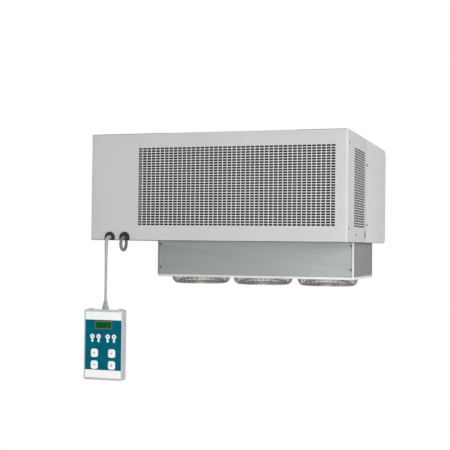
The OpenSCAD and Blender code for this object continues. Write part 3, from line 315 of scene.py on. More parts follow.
def moulded(name, color, roughness=0.5, grain=700.0):
    """Moulded plastic with a fine grain."""
    finish = Finish(name, color, roughness)
    mottle = finish.range(finish.noise(25.0, 3.0), 0.3, 0.7)
    finish.paint(tinted(color, 0.94), tinted(color, 1.06), mottle)
    finish.set("Roughness", finish.range(finish.noise(90.0), 0.3, 0.7,
                                         roughness - 0.05, roughness + 0.07))
    finish.bump(finish.noise(grain, 1.0), 0.00006, 0.4)
    return finish.material


def sheath(name, color):
    """Cord sheath with faint scuffs along its length."""
    finish = Finish(name, color, 0.48)
    scuff = finish.noise(60.0, 3.0, (1, 1, 0.25))
    finish.paint(tinted(color, 0.86), tinted(color, 1.08), finish.range(scuff, 0.3, 0.7))
    finish.bump(finish.noise(420.0, 2.0), 0.0001, 0.35)
    return finish.material


def drawn_metal(name, color, roughness, stretch):
    """Bare metal with fine lines across the stretched axes."""
    finish = Finish(name, color, roughness, 1.0)
    lines = finish.noise(60.0, 3.0, stretch)
    finish.paint(tinted(color, 0.82), tinted(color, 1.12), finish.range(lines, 0.3, 0.7))
    finish.set("Roughness", finish.range(lines, 0.3, 0.7, roughness - 0.06, roughness + 0.08))
    finish.bump(lines, 0.0001, 0.2)
    return finish.material


def copper(name):
    """Copper pipe, dulled in patches."""
    color = (0.62, 0.27, 0.15)
    finish = Finish(name, color, 0.35, 0.9)
    dull = finish.range(finish.noise(14.0, 4.0), 0.4, 0.65)
    finish.paint(color, (0.30, 0.13, 0.08), dull)
    finish.set("Roughness", dull * 0.25 + 0.3)
    return finish.material


def enamel(name, color, roughness=0.35):
    """Thick black enamel over cast or pressed steel."""
    finish = Finish(name, color, roughness, Coat_Weight=0.25)
    finish.paint(color, tinted(color, 1.8), finish.range(finish.noise(18.0, 4.0), 0.45, 0.7))
    finish.bump(finish.noise(120.0, 2.0), 0.0003, 0.35)
    return finish.material


# Depth behind a sheet's outer face where its painted shade starts, margin beside the folds, and
# height of the painted shade along the lower edges
SHADE_INSET = 0.0002
FOLD_MARGIN = 0.0005
LOWER_EDGE = 0.0016

# Back of the roof's front edge, ends of its middle stretch without painted shade, and size of the
# painted highlight on the box's corner
ROOF_EDGE = PANEL_LOW.y + 0.0010
EDGE_SHADE_ENDS = (-0.19, 0.309)
HIGHLIGHT_WIDTH, HIGHLIGHT_DEPTH = 0.0066, 0.0004


def slot_and_edge_shade(finish):
    """Painted shade, near black, on the lower edge, the cut edges and the inner faces of the
    casing's sheets, where shade falls in the slots and under the casing.
    """
    across, depth = finish.along("X"), finish.along("Y")
    reach = across.math("ABSOLUTE", across)
    flat = reach < PANEL_HIGH.x - CORNER - FOLD_MARGIN
    behind_front = (depth > PANEL_LOW.y + SHADE_INSET) * flat
    inner = reach < PANEL_HIGH.x - SHADE_INSET / 2
    within_sides = (depth > PANEL_LOW.y + CORNER + SHADE_INSET) * inner
    return (finish.along("Z") < LOWER_EDGE) + behind_front + within_sides


def rear_lower_shade(finish):
    """Painted shade along the lowest strip of the rear cover."""
    return finish.along("Z") < LOWER_EDGE


def roof_edge_shade(finish):
    """Painted shade, near black, along the roof's front edge, outside its middle stretch."""
    across = finish.along("X")
    return (finish.along("Y") < ROOF_EDGE) * ((across < EDGE_SHADE_ENDS[0]) + (across > EDGE_SHADE_ENDS[1]))


def corner_highlight(finish):
    """Painted highlight, pale, on the front of the box's right corner."""
    front, right = BOX_LOW.y + HIGHLIGHT_DEPTH, BOX_HIGH.x - HIGHLIGHT_WIDTH
    return (finish.along("Y") < front) * (finish.along("X") > right)


# The casing's paint is near black on its lower edge, cut edges and inner faces, as painted shade
casing_paint = powder_coat("casing_paint", (0.56, 0.56, 0.575), 0.55, slot_and_edge_shade,
                           (0.045, 0.044, 0.043))
# The rear cover's paint is darker along its lowest strip, as painted shade
rear_paint = powder_coat("rear_paint", (0.64, 0.64, 0.645), 0.55, rear_lower_shade)
# The roof's paint is near black along its front edge outside the middle, as painted shade
roof_paint = powder_coat("roof_paint", (0.56, 0.56, 0.575), 0.55, roof_edge_shade, (0.03, 0.03, 0.03))
box_paint = powder_coat("box_paint", (0.345, 0.37, 0.375))
# The box's side walls and rear grille are painted darker than its front as painted shade, with a
# pale painted highlight on the right corner
box_side_shade_paint = powder_coat("box_side_shade_paint", (0.225, 0.24, 0.235), 0.42, corner_highlight,
                             (0.78, 0.78, 0.78))
# Near black paint on the corner posts, seam frame, coil end plates, fan shroud and motor brackets,
# standing in for the shade inside the casing
shade_black_paint = powder_coat("shade_black_paint", (0.014, 0.014, 0.015), 0.6)
tray_paint = powder_coat("tray_paint", (0.74, 0.74, 0.72))
zinc = zinc_sheet("zinc")
rubber = moulded("rubber", (0.016, 0.016, 0.017), 0.62)
dark_plastic = moulded("dark_plastic", (0.035, 0.035, 0.038), 0.5)
pale_plastic = moulded("pale_plastic", (0.60, 0.59, 0.52), 0.5)
relief_plastic = moulded("relief_plastic", (0.40, 0.40, 0.40), 0.5)
shell_plastic = moulded("shell_plastic", (0.50, 0.51, 0.52), 0.42)
key_plastic = moulded("key_plastic", (0.88, 0.88, 0.88), 0.4)
control_sheath = sheath("control_sheath", (0.37, 0.37, 0.37))
supply_sheath = sheath("supply_sheath", (0.17, 0.17, 0.15))
screw_steel = drawn_metal("screw_steel", (0.16, 0.16, 0.165), 0.42, (6, 1, 1))
fin_metal = drawn_metal("fin_metal", (0.45, 0.46, 0.47), 0.45, (1, 1, 9))
guard_wire = drawn_metal("guard_wire", (0.47, 0.445, 0.41), 0.3, (1, 1, 6))
# Black coating on the condenser fins, made near black also to stand in for the shade behind the
# grilles
fin_coat_and_shade = moulded("fin_coat_and_shade", (0.014, 0.013, 0.013), 0.6, 300.0)
fan_metal = drawn_metal("fan_metal", (0.38, 0.38, 0.39), 0.4, (4, 4, 1))
heater_steel = drawn_metal("heater_steel", (0.22, 0.22, 0.23), 0.4, (1, 8, 8))
brass = drawn_metal("brass", (0.62, 0.47, 0.20), 0.35, (5, 5, 1))
pipe_copper = copper("pipe_copper")
black_enamel = enamel("black_enamel", (0.02, 0.02, 0.021))
drier_enamel = enamel("drier_enamel", (0.50, 0.37, 0.08))
foam_skin = moulded("foam_skin", (0.72, 0.72, 0.69), 0.7, 300.0)
board_green = moulded("board_green", (0.015, 0.16, 0.055), 0.35)
white_print = moulded("white_print", (0.82, 0.82, 0.82), 0.45)
lamp_cyan = moulded("lamp_cyan", (0.45, 0.78, 0.82), 0.25)
mark_green = moulded("mark_green", (0.03, 0.16, 0.06), 0.45)
mark_grey = moulded("mark_grey", (0.10, 0.10, 0.11), 0.45)
mark_magenta = moulded("mark_magenta", (0.42, 0.05, 0.20), 0.45)
mark_orange = moulded("mark_orange", (0.65, 0.30, 0.12), 0.45)

CAD_FINISHES = {
    zinc: ["base_plate", "electrical_box", "electrical_box_lid"],
    shade_black_paint: ["corner_posts", "seam_frame", "coil_end_plates", "fan_shroud", "motor_brackets"],
    casing_paint: ["front_panel", "right_side_panel", "left_side_panel"],
    rear_paint: ["rear_cover"],
    roof_paint: ["top_panel"],
    screw_steel: ["panel_screws"],
    rubber: ["control_grommet", "supply_grommet", "compressor_mounts"],
    dark_plastic: ["supply_cord_clip", "contactor", "compressor_terminal_cover"],
    pale_plastic: ["terminal_block"],
    board_green: ["power_board", "remote_board"],
    fin_coat_and_shade: ["condenser_fins"],
    fin_metal: ["evaporator_fins"],
    pipe_copper: ["condenser_tubes", "evaporator_tubes", "discharge_line", "liquid_line",
                  "suction_line"],
    black_enamel: ["condenser_motors", "compressor", "liquid_receiver", "evaporator_motors"],
    drier_enamel: ["filter_drier"],
    brass: ["expansion_valve"],
    foam_skin: ["insulated_plug"],
    box_paint: ["box_front_wall"],
    box_side_shade_paint: ["box_side_walls", "box_rear_grille"],
    tray_paint: ["fan_tray"],
    heater_steel: ["defrost_heater"],
    fan_metal: ["left_condenser_fan", "right_condenser_fan", "left_evaporator_fan",
                "middle_evaporator_fan", "right_evaporator_fan"],
    guard_wire: ["fan_guards"],
    relief_plastic: ["strain_relief"],
    shell_plastic: ["remote_back_shell", "remote_front_shell"],
    key_plastic: ["upper_left_key", "upper_right_key", "lower_left_key", "lower_right_key"],
    white_print: ["remote_indicators"],
}


def overlay_film(name):
    """Printed film of the handset, deep teal between two white bands."""
    low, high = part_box("remote_overlay")
    teal = (0.0, 0.115, 0.170)
    white = (0.92, 0.92, 0.92)
    top_band, bottom_band = 0.030, 0.029
    finish = Finish(name, teal, 0.35, Specular_IOR_Level=0.03)
    height = finish.along("Z")
    bands = (height > high.z - top_band) + (height < low.z + bottom_band)
    mottle = finish.range(finish.noise(30.0, 3.0), 0.3, 0.7)
    field = finish.blend(mottle, tinted(teal, 0.9), tinted(teal, 1.1))
    finish.set("Base Color", finish.blend(bands, field, white))
    finish.bump(finish.noise(1200.0, 1.0), 0.00003, 0.4)
    return finish.material


def display_glass(name):
    """Dark green window with an olive border and a faint mottle."""
    low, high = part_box("remote_display")
    finish = Finish(name, (0.004, 0.08, 0.016), 0.3, Specular_IOR_Level=0.06)
    border = 0.0045
    across, height = finish.along("X"), finish.along("Z")
    beside = (across < low.x + border) + (across > high.x - border)
    outside = beside + (height < low.z + border) + (height > high.z - border)
    edge = finish.range(outside, 0.0, 1.0)
    glow = finish.range(finish.noise(60.0, 2.0), 0.3, 0.7)
    inner = finish.blend(glow, (0.003, 0.055, 0.011), (0.007, 0.11, 0.022))
    finish.set("Base Color", finish.blend(edge, inner, (0.10, 0.14, 0.05)))
    return finish.material


CAD_FINISHES[overlay_film("overlay_film")] = ["remote_overlay"]
CAD_FINISHES[display_glass("display_glass")] = ["remote_display"]

for material, nodes in CAD_FINISHES.items():
    for node in nodes:
        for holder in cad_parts[node].material_slots:
            holder.material = material

for cord, material in ((control_cord, control_sheath), (control_sleeve, control_sheath),
                       (supply_cord, supply_sheath)):
    cord.data.materials.append(material)


# Shaping helpers

def bevel(bm, edges, offset, segments, **more):
    """Rounds the edges given, by offset."""
    bmesh.ops.bevel(bm, geom=list(edges), offset=offset, affect="EDGES", segments=segments,
                    profile=0.5, material=-1, **more)


def flat_face(face):
    """True for a face along two of the axes."""
    return max(abs(part) for part in face.normal) > 0.99995


def as_mesh(name, bm, smooth=35.0):
    """Mesh of a bmesh, whose faces along the axes stay flat and whose sharp edges stay sharp."""
    bm.normal_update()
    rounded = [not flat_face(face) for face in bm.faces]
    mesh = bpy.data.meshes.new(name)
    bm.to_mesh(mesh)
    bm.free()
    mesh.polygons.foreach_set("use_smooth", rounded)
    mesh.set_sharp_from_angle(angle=radians(smooth))
    return mesh


def add_piece(name, data, material, body, nodes=()):
    """Puts a finished mesh in the scene as a piece that rides on body and stands for nodes."""
    data.materials.append(material)
    piece = bpy.data.objects.new(name, data)
    scene.collection.objects.link(piece)
    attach(piece, body)
    if nodes:
        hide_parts(*nodes)


def finish_piece(name, bm, material, body, nodes=(), smooth=35.0, outward=True):
    """Makes a piece of a bmesh, in its place."""
    if outward:
        bmesh.ops.recalc_face_normals(bm, faces=bm.faces)
    add_piece(name, as_mesh(name, bm, smooth), material, body, nodes)


def pull(bm, made, step):
    """Moves the vertices that an extrusion made."""
    verts = [item for item in made["geom"] if isinstance(item, bmesh.types.BMVert)]
    bmesh.ops.translate(bm, verts=verts, vec=step)


def block(bm, low, high):
    """Box from its lowest to its highest corner."""
    low, high = Vector(low), Vector(high)
    place = Matrix.Translation((low + high) / 2) @ Matrix.Diagonal((*(high - low), 1.0))
    bmesh.ops.create_cube(bm, size=1.0, matrix=place)


def turned_profile(bm, points, steps=48):
    """Solid of revolution round Z from points given as radius and height."""
    verts = [bm.verts.new((radius, 0, height)) for radius, height in points]
    edges = [bm.edges.new(pair) for pair in zip(verts, verts[1:])]
    bmesh.ops.spin(bm, geom=verts + edges, cent=(0, 0, 0), axis=Z, angle=TURN, steps=steps,
                   use_merge=True)
    bmesh.ops.remove_doubles(bm, verts=bm.verts, dist=TINY)
    bmesh.ops.recalc_face_normals(bm, faces=bm.faces)


def stamp(bm, pattern, place):
    """Adds a copy of a pattern mesh, moved to place."""
    count = len(bm.verts)
    bm.from_mesh(pattern)
    bm.verts.ensure_lookup_table()
    bmesh.ops.transform(bm, matrix=place, verts=bm.verts[count:])


def towards(direction):
    """Turn that takes +Z to direction."""
    return Vector(direction).to_track_quat("Z", "Y").to_matrix().to_4x4()


def rounded_plate(bm, width, height, radius, low, high, edge=0.0, steps=6):
    """Plate with round corners in X and Z, centred, from low to high along Y."""
    size = Matrix.Diagonal((width, high - low, height, 1.0))
    place = Matrix.Translation(Y * (low + high) / 2) @ size
    made = bmesh.ops.create_cube(bm, size=1.0, matrix=place)["verts"]
    lines = {line for vert in made for line in vert.link_edges}
    bevel(bm, [line for line in lines if abs(line.verts[0].co.y - line.verts[1].co.y) > TINY],
          radius, steps)
    if edge:
        rim = [line for line in bm.edges
               if all(abs(vert.co.y - low) < TINY for vert in line.verts)]
        bevel(bm, rim, edge, 3)


def islands(node):
    """Lowest and highest corners of each separate solid of a CAD node."""
    bm = bmesh.new()
    bm.from_mesh(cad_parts[node].data)
    bmesh.ops.remove_doubles(bm, verts=bm.verts, dist=TINY)
    left = set(bm.verts)
    found = []
    while left:
        reached = [left.pop()]
        group = []
        while reached:
            vert = reached.pop()
            group.append(vert.co.copy())
            near = {edge.other_vert(vert) for edge in vert.link_edges} & left
            left -= near
            reached.extend(near)
        found.append((Vector(map(min, zip(*group))), Vector(map(max, zip(*group)))))
    bm.free()
    return sorted(found, key=lambda box: tuple(round(part, 6) for part in (*box[0], *box[1])))


def smooth_copy(name, node, material, body="unit", edge=0.0, smooth=35.0):
    """Stands in for a CAD node with the same shape, smooth on its curves, and soft at its edges."""
    bm = bmesh.new()
    bm.from_mesh(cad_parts[node].data)
    bmesh.ops.remove_doubles(bm, verts=bm.verts, dist=TINY)
    bmesh.ops.dissolve_limit(bm, angle_limit=radians(0.5), verts=bm.verts, edges=bm.edges)
    if edge:
        sharp = [line for line in bm.edges
                 if len(line.link_faces) == 2 and line.calc_face_angle(0.0) > radians(40)]
        bevel(bm, sharp, edge, 2, clamp_overlap=True)
    finish_piece(name, bm, material, body, [node], smooth)


# Slotted panels

class SlotPattern:
    """Rows of short slots from start to end along X, and upwards from the lowest row."""

    def __init__(self, start, end, columns):
        self.pitch = (end - start + SLOT_WEB) / columns
        self.width = self.pitch - SLOT_WEB
        self.starts = [start + i * self.pitch for i in range(columns)]
        self.rows = [GRILLE_LOW + j * ROW_PITCH for j in range(SLOT_ROWS)]

    def x_lines(self):
        return [line for start in self.starts for line in (start, start + self.width)]

    def z_lines(self):
        return [line for row in self.rows for line in (row, row + SLOT_HEIGHT)]

    def holds(self, x, z):
        return (any(start < x < start + self.width for start in self.starts)
                and any(row < z < row + SLOT_HEIGHT for row in self.rows))


def ruled_sheet(bm, xs, zs, is_hole):
    """Flat sheet in X and Z, ruled at xs and zs, without the cells whose centres are in a hole."""
    columns, rows = len(xs) - 1, len(zs) - 1
    made = bmesh.ops.create_grid(bm, x_segments=columns, y_segments=rows, size=0.5)["verts"]
    for vert in made:
        column = round((vert.co.x + 0.5) * columns)
        row = round((vert.co.y + 0.5) * rows)
        vert.co = (xs[column], 0.0, zs[row])
    holes = [face for face in bm.faces if is_hole(*face.calc_center_median().xz)]
    bmesh.ops.delete(bm, geom=holes, context="FACES")


def face_outwards(bm):
    """Turns a sheet in X and Z so that its faces look along -Y."""
    bmesh.ops.recalc_face_normals(bm, faces=bm.faces)
    if sum(face.normal.y * face.calc_area() for face in bm.faces) > 0:
        bmesh.ops.reverse_faces(bm, faces=bm.faces)


def make_front_panel():
    """Front panel with its grille and cord notches, folded round to both sides."""
    grille = SlotPattern(PANEL_LOW.x + FRONT_BORDERS[0], PANEL_HIGH.x - FRONT_BORDERS[1],
                         FRONT_COLUMNS)
    notches = [(middle - NOTCH, middle + NOTCH) for middle in GROMMETS]
    flat_x = PANEL_HIGH.x - CORNER
    xs = sorted([-flat_x, flat_x, *notches[0], *notches[1]] + grille.x_lines())
    zs = sorted([0.0, NOTCH_TOP, PANEL_HIGH.z] + grille.z_lines())

    def is_hole(x, z):
        return grille.holds(x, z) or (
            z < NOTCH_TOP and any(low < x < high for low, high in notches))

    bm = bmesh.new()
    ruled_sheet(bm, xs, zs, is_hole)
    for side in (-1, 1):
        border = [edge for edge in bm.edges
                  if all(abs(vert.co.x - side * flat_x) < TINY for vert in edge.verts)]
        ends = list({vert for edge in border for vert in edge.verts})
        swept = bmesh.ops.spin(bm, geom=border + ends, cent=(side * flat_x, CORNER, 0), axis=Z,
                               angle=side * TURN / 4, steps=8)
        last = [item for item in swept["geom_last"] if isinstance(item, bmesh.types.BMEdge)]
        pull(bm, bmesh.ops.extrude_edge_only(bm, edges=last),
             Y * (PANEL_HIGH.y - PANEL_LOW.y - CORNER))
    face_outwards(bm)
    bmesh.ops.solidify(bm, geom=bm.faces[:], thickness=SHEET)
    bmesh.ops.translate(bm, verts=bm.verts, vec=Y * PANEL_LOW.y)
    finish_piece("slotted_front", bm, casing_paint, "unit", ["front_panel"],
                 outward=False)


def tear_slot(bm):
    """Closes the open cell round the teardrop slot with a plate that has the slot in it."""
    reach = TEAR_CELL + TINY

    def in_cell(vert):
        return (abs(vert.co.x - TEAR_MIDDLE) < reach
                and TEAR_LOW - reach < vert.co.z < TEAR_LOW + TEAR_TIP + reach)

    border = [edge for edge in bm.edges
              if len(edge.link_faces) == 1 and all(map(in_cell, edge.verts))]
    place = Matrix.Translation((TEAR_MIDDLE, 0, TEAR_LOW)) @ FACE_FRONT
    outline = bmesh.ops.create_circle(bm, segments=24, radius=TEAR_RADIUS, matrix=place)["verts"]
    for vert in outline:
        up = max(0.0, (vert.co.z - TEAR_LOW) / TEAR_RADIUS)
        vert.co.x = TEAR_MIDDLE + (vert.co.x - TEAR_MIDDLE) * (1 - 0.15 * up)
        vert.co.z += (TEAR_TIP - TEAR_RADIUS) * up ** 2
    ring = list({edge for vert in outline for edge in vert.link_edges})
    bmesh.ops.bridge_loops(bm, edges=border + ring)


def make_side_panel(side):
    """Side panel of the front section, made as seen from the front and turned to its side."""
    start, end = SIDE_LOW.y - PANEL_LOW.y, SIDE_HIGH.y - PANEL_LOW.y
    grille = SlotPattern(*SIDE_GRILLE, SIDE_COLUMNS)
    xs = sorted([start, end, TEAR_MIDDLE - TEAR_CELL, TEAR_MIDDLE + TEAR_CELL] + grille.x_lines())
    zs = sorted([0.0, PANEL_HIGH.z, TEAR_LOW - TEAR_CELL] + grille.z_lines())
    tear_top = min(z for z in zs if z > TEAR_LOW + TEAR_TIP)

    def is_hole(x, z):
        around_tear = abs(x - TEAR_MIDDLE) < TEAR_CELL and TEAR_LOW - TEAR_CELL < z < tear_top
        return grille.holds(x, z) or (side > 0 and around_tear)

    bm = bmesh.new()
    ruled_sheet(bm, xs, zs, is_hole)
    if side > 0:
        tear_slot(bm)
    face_outwards(bm)
    bmesh.ops.solidify(bm, geom=bm.faces[:], thickness=SHEET)
    place = Matrix.Translation((SIDE_HIGH.x, PANEL_LOW.y, 0)) @ Matrix.Rotation(radians(90), 4, "Z")
    bmesh.ops.transform(bm, matrix=place, verts=bm.verts)
    if side < 0:
        bmesh.ops.scale(bm, vec=(-1, 1, 1), verts=bm.verts)
        bmesh.ops.reverse_faces(bm, faces=bm.faces)
    hand = "right" if side > 0 else "left"
    finish_piece(f"slotted_{hand}_side", bm, casing_paint, "unit",
                 [f"{hand}_side_panel"], outward=False)


make_front_panel()
make_side_panel(1)
make_side_panel(-1)
smooth_copy("rear_hood", "rear_cover", rear_paint, smooth=30.0)
smooth_copy("roof_panel", "top_panel", roof_paint, edge=0.0005)


# Screws and grommets

def screw_pattern():
    """Pan head with a cross recess, and its shank, with the seat of the head at z = 0."""
    bm = bmesh.new()
    turned_profile(bm, [(0, 0.0008), (0.0006, 0.0009), (0.0019, 0.0021), (0.0030, 0.0019),
                        (0.0038, 0.0011), (0.0040, 0.0003), (0.0040, 0), (0.0017, 0),
                        (0.0017, -0.007), (0, -0.007)], 24)
    for vert in bm.verts:
        reach = vert.co.xy.length
        if vert.co.z > 0.0015 and reach < 0.0025:
            lobe = 0.45 + 0.55 * abs(cos(2 * atan2(vert.co.y, vert.co.x)))
            vert.co.x *= lobe
            vert.co.y *= lobe
    return as_mesh("screw_pattern", bm)


def make_screws():
    """Screws in the front, the right side and the left side, each where the CAD has one."""
    pattern = screw_pattern()
    bm = bmesh.new()
    for low, high in islands("panel_screws"):
        middle = (low + high) / 2
        if high.y - low.y > high.x - low.x:
            seat, out = Vector((middle.x, low.y + SCREW_HEAD, middle.z)), -Y
        elif middle.x > 0:
            seat, out = Vector((high.x - SCREW_HEAD, middle.y, middle.z)), X
        else:
            seat, out = Vector((low.x + SCREW_HEAD, middle.y, middle.z)), -X
        stamp(bm, pattern, Matrix.Translation(seat) @ towards(out))
    finish_piece("pan_head_screws", bm, screw_steel, "unit", ["panel_screws"],
                 outward=False)


def make_grommet(name, node):
    """Edge grommet with two rounded flanges, open downwards for its cord."""
    low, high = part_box(node)
    middle, radius = (low.x + high.x) / 2, (high.x - low.x) / 2
    centre_z = high.z - radius
    front = PANEL_LOW.y - low.y
    back = high.y - PANEL_LOW.y
    bore = BORES[node]
    half_ring = [(radius - 0.0025, -front), (radius - 0.0007, -front + 0.0008),
                 (radius, -front + 0.0022), (radius, -0.0002), (NOTCH, 0.0), (NOTCH, SHEET),
                 (radius, SHEET + 0.0002), (radius, back - 0.002), (radius - 0.002, back),
                 (bore + 0.003, back), (bore, back - 0.002), (bore, -front + 0.003),
                 (bore + 0.0012, -front + 0.0008), (bore + 0.003, -front)]
    bm = bmesh.new()
    verts = [bm.verts.new((reach, depth, 0)) for reach, depth in half_ring]
    bm.faces.new(verts)
    bmesh.ops.spin(bm, geom=bm.verts[:] + bm.edges[:] + bm.faces[:], cent=(0, 0, 0), axis=Y,
                   angle=-TURN / 2, steps=32)
    legs = [face for face in bm.faces if all(abs(vert.co.z) < TINY for vert in face.verts)]
    for face in legs:
        pull(bm, bmesh.ops.extrude_face_region(bm, geom=[face]), -Z * centre_z)
        bmesh.ops.delete(bm, geom=[face], context="FACES_KEEP_BOUNDARY")
    bmesh.ops.translate(bm, verts=bm.verts, vec=(middle, PANEL_LOW.y, centre_z))
    finish_piece(name, bm, rubber, "unit", [node])


make_screws()
make_grommet("control_cord_grommet", "control_grommet")
make_grommet("supply_cord_grommet", "supply_grommet")


# Coils and fans

# Thickness of the fins and of the fan blades, and radii of a fan's shaft and its collar
FIN_SHEET = 0.0004
BLADE_SHEET = 0.0016
SHAFT_RADIUS = 0.004
COLLAR_RADIUS = 0.009


def make_fin_pack(name, node, material, pitch):
    """Thin upright plates in the space of a CAD fin block."""
    low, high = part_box(node)
    count = int((high.x - low.x) / pitch)
    plate = bmesh.new()
    block(plate, (0, low.y, low.z), (FIN_SHEET, high.y, high.z))
    pattern = as_mesh("fin_pattern", plate)
    bm = bmesh.new()
    for i in range(count + 1):
        start = low.x + i / count * (high.x - low.x - FIN_SHEET)
        stamp(bm, pattern, Matrix.Translation(X * start))
    finish_piece(name, bm, material, "unit", [node], outward=False)


def fan_pattern(hub, tip, depth, shaft):
    """Axial fan with cupped, swept blades; its hub starts at z = 0, its shaft ends at z = shaft."""
    blades, spread, sweep = 5, radians(58), radians(16)
    bm = bmesh.new()
    for i in range(blades):
        start = len(bm.verts)
        bmesh.ops.create_grid(bm, x_segments=10, y_segments=8, size=0.5)
        bm.verts.ensure_lookup_table()
        for vert in bm.verts[start:]:
            out, chord = vert.co.x + 0.5, vert.co.y
            reach = hub - 0.002 + out * (tip - hub + 0.002)
            taper = 1 - 0.25 * out
            rounded = 1 - 0.5 * max(0.0, out - 0.85) / 0.15 * (chord * 2) ** 2
            angle = i * TURN / blades + chord * spread * taper * rounded + sweep * out ** 2
            lift = depth * (0.5 + chord * 0.74 * taper - 0.10 * (1 - 4 * chord ** 2))
            vert.co = (reach * cos(angle), reach * sin(angle), lift)
    bmesh.ops.recalc_face_normals(bm, faces=bm.faces)
    bmesh.ops.solidify(bm, geom=bm.faces[:], thickness=BLADE_SHEET)
    bmesh.ops.recalc_face_normals(bm, faces=bm.faces)
    edge = 0.003
    wheel = bmesh.new()
    turned_profile(wheel, [(0, 0.002), (hub * 0.3, 0.002), (hub * 0.34, 0.0005), (hub - edge, 0),
                           (hub - edge * 0.3, edge * 0.3), (hub, edge), (hub, depth - edge),
                           (hub - edge * 0.3, depth - edge * 0.3), (hub - edge, depth),
                           (COLLAR_RADIUS, depth), (COLLAR_RADIUS, depth + edge),
                           (SHAFT_RADIUS, depth + edge), (SHAFT_RADIUS, shaft), (0, shaft)])
    stamp(bm, as_mesh("hub_pattern", wheel), Matrix())
    return as_mesh("fan_pattern", bm, 50.0)


def make_fans(nodes, out, turn, hub, depth):
    """Fans that stand for the CAD fans in nodes, whose shafts run along out."""
    low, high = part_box(nodes[0])
    pattern = fan_pattern(hub, (high.x - low.x) / 2, depth, (high - low).dot(out))
    for node in nodes:
        low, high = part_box(node)
        middle = (low + high) / 2
        seat = middle - out * (middle - low).dot(out)
        bm = bmesh.new()
        stamp(bm, pattern, Matrix.Translation(seat) @ turn)
        finish_piece(node + "_wheel", bm, fan_metal, node, [node], 50.0, outward=False)


def wire_form(name, loops, paths, radius, material, body, nodes):
    """Bent wires: closed loops and open paths of points, as one piece."""
    data = bpy.data.curves.new(name, "CURVE")
    data.dimensions = "3D"
    data.bevel_depth = radius
    data.bevel_resolution = 1
    data.use_fill_caps = True
    for points, closed in [(loop, True) for loop in loops] + [(path, False) for path in paths]:
        spline = data.splines.new("POLY")
        spline.points.add(len(points) - 1)
        for point, place in zip(spline.points, points):
            point.co = (*place, 1.0)
        spline.use_cyclic_u = closed
        spline.use_smooth = True
    add_piece(name, drawn_mesh(data), material, body, nodes)


def ray(i, steps):
    """Direction of the ith of the steps round Z."""
    return Vector((cos(i * TURN / steps), sin(i * TURN / steps), 0))


def ring_points(centre, radius, height):
    """Points of a level ring."""
    steps = 48
    return [centre + ray(i, steps) * radius + Z * height for i in range(steps)]


def make_guards():
    """Domed wire guards: rings welded to ribs that turn up at the rim."""
    thick = 0.0013
    turn_up = 0.020
    inner = 0.018
    flat_rings, bend_steps, ribs = 10, 8, 36
    loops, paths = [], []
    for low, high in islands("fan_guards"):
        centre = Vector(((low.x + high.x) / 2, (low.y + high.y) / 2, 0))
        rim = (high.x - low.x) / 2 - thick
        top, bottom = high.z - thick, low.z + thick
        bends = [i * TURN / 4 / bend_steps for i in range(bend_steps + 1)]
        profile = [(rim - turn_up * (1 - sin(bend)), bottom + (top - bottom) * (1 - cos(bend)))
                   for bend in bends]
        radii = [inner + i * (rim - turn_up - inner) / flat_rings for i in range(flat_rings + 1)]
        levels = [(radius, bottom) for radius in radii] + profile[1:]
        loops += [ring_points(centre, radius, height + thick * 1.2) for radius, height in levels]
        for i in range(ribs):
            start = radii[0] if i % 2 == 0 else radii[3]
            paths.append([centre + ray(i, ribs) * reach + Z * height
                          for reach, height in [(start, bottom)] + profile])
    wire_form("evaporator_guards", loops, paths, thick, guard_wire, "unit",
              ["fan_guards"])


make_fin_pack("condenser_fin_pack", "condenser_fins", fin_coat_and_shade, 0.0028)
make_fin_pack("evaporator_fin_pack", "evaporator_fins", fin_metal, 0.0050)
make_fans(["left_condenser_fan", "right_condenser_fan"], Y, ALONG_Y, 0.044, 0.024)
make_fans(["left_evaporator_fan", "middle_evaporator_fan", "right_evaporator_fan"], Z, Matrix(),
          0.036, 0.020)
make_guards()


# Evaporator box

smooth_copy("box_front_sheet", "box_front_wall", box_paint, edge=0.0004)
smooth_copy("box_side_sheets", "box_side_walls", box_side_shade_paint, edge=0.0004)
smooth_copy("drip_tray", "fan_tray", tray_paint, edge=0.0006)


# Handset

# Thickness of a printed sign
INK = 0.0003


def make_key(name, node, mark):
    """Key with a soft edge, a flange, a stem and a small printed mark."""
    low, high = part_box(node)
    middle = (low + high) / 2
    wide, tall, deep = high.x - low.x, high.z - low.z, high.y - low.y
    flange, corner, cap, stem_radius = 0.002, 0.0085, 0.006, 0.004
    bm = bmesh.new()
    rounded_plate(bm, wide - 2 * flange, tall - 2 * flange, corner,
                  low.y + 0.0002, low.y + cap, 0.0012)
    rim = bmesh.new()
    rounded_plate(rim, wide, tall, corner + flange,
                  low.y + cap - 0.0011, low.y + cap + 0.0001, 0.0002)
    stamp(bm, as_mesh("key_flange", rim), Matrix())
    stem = bmesh.new()
    turned_profile(stem, [(0, 0), (stem_radius, 0), (stem_radius, deep - cap), (0, deep - cap)], 24)
    stamp(bm, as_mesh("key_stem", stem), Matrix.Translation(Y * (low.y + cap)) @ ALONG_Y)
    bmesh.ops.translate(bm, verts=bm.verts, vec=(middle.x, 0, middle.z))
    finish_piece(name, bm, key_plastic, node, [node], outward=False)
    sign = bmesh.new()
    MARKS[mark][0](sign)
    bmesh.ops.translate(sign, verts=sign.verts, vec=(middle.x, low.y, middle.z))
    finish_piece(name + "_mark", sign, MARKS[mark][1], node)


def arrow_mark(bm, angle=0):
    """Small arrow that points up, or turned by an angle in degrees."""
    bmesh.ops.create_circle(bm, cap_ends=True, segments=3, radius=0.0045,
                            matrix=Matrix.Rotation(radians(angle), 4, "Y") @ FACE_FRONT)
    pull(bm, bmesh.ops.extrude_face_region(bm, geom=bm.faces[:]), Y * INK)


MARKS = {
    "up": (arrow_mark, mark_green),
    "down": (lambda bm: arrow_mark(bm, 180), mark_grey),
    "dot": (lambda bm: rounded_plate(bm, 0.0055, 0.0055, 0.0026, 0.0, INK), mark_magenta),
    "bar": (lambda bm: rounded_plate(bm, 0.0085, 0.0032, 0.0015, 0.0, INK), mark_orange),
}


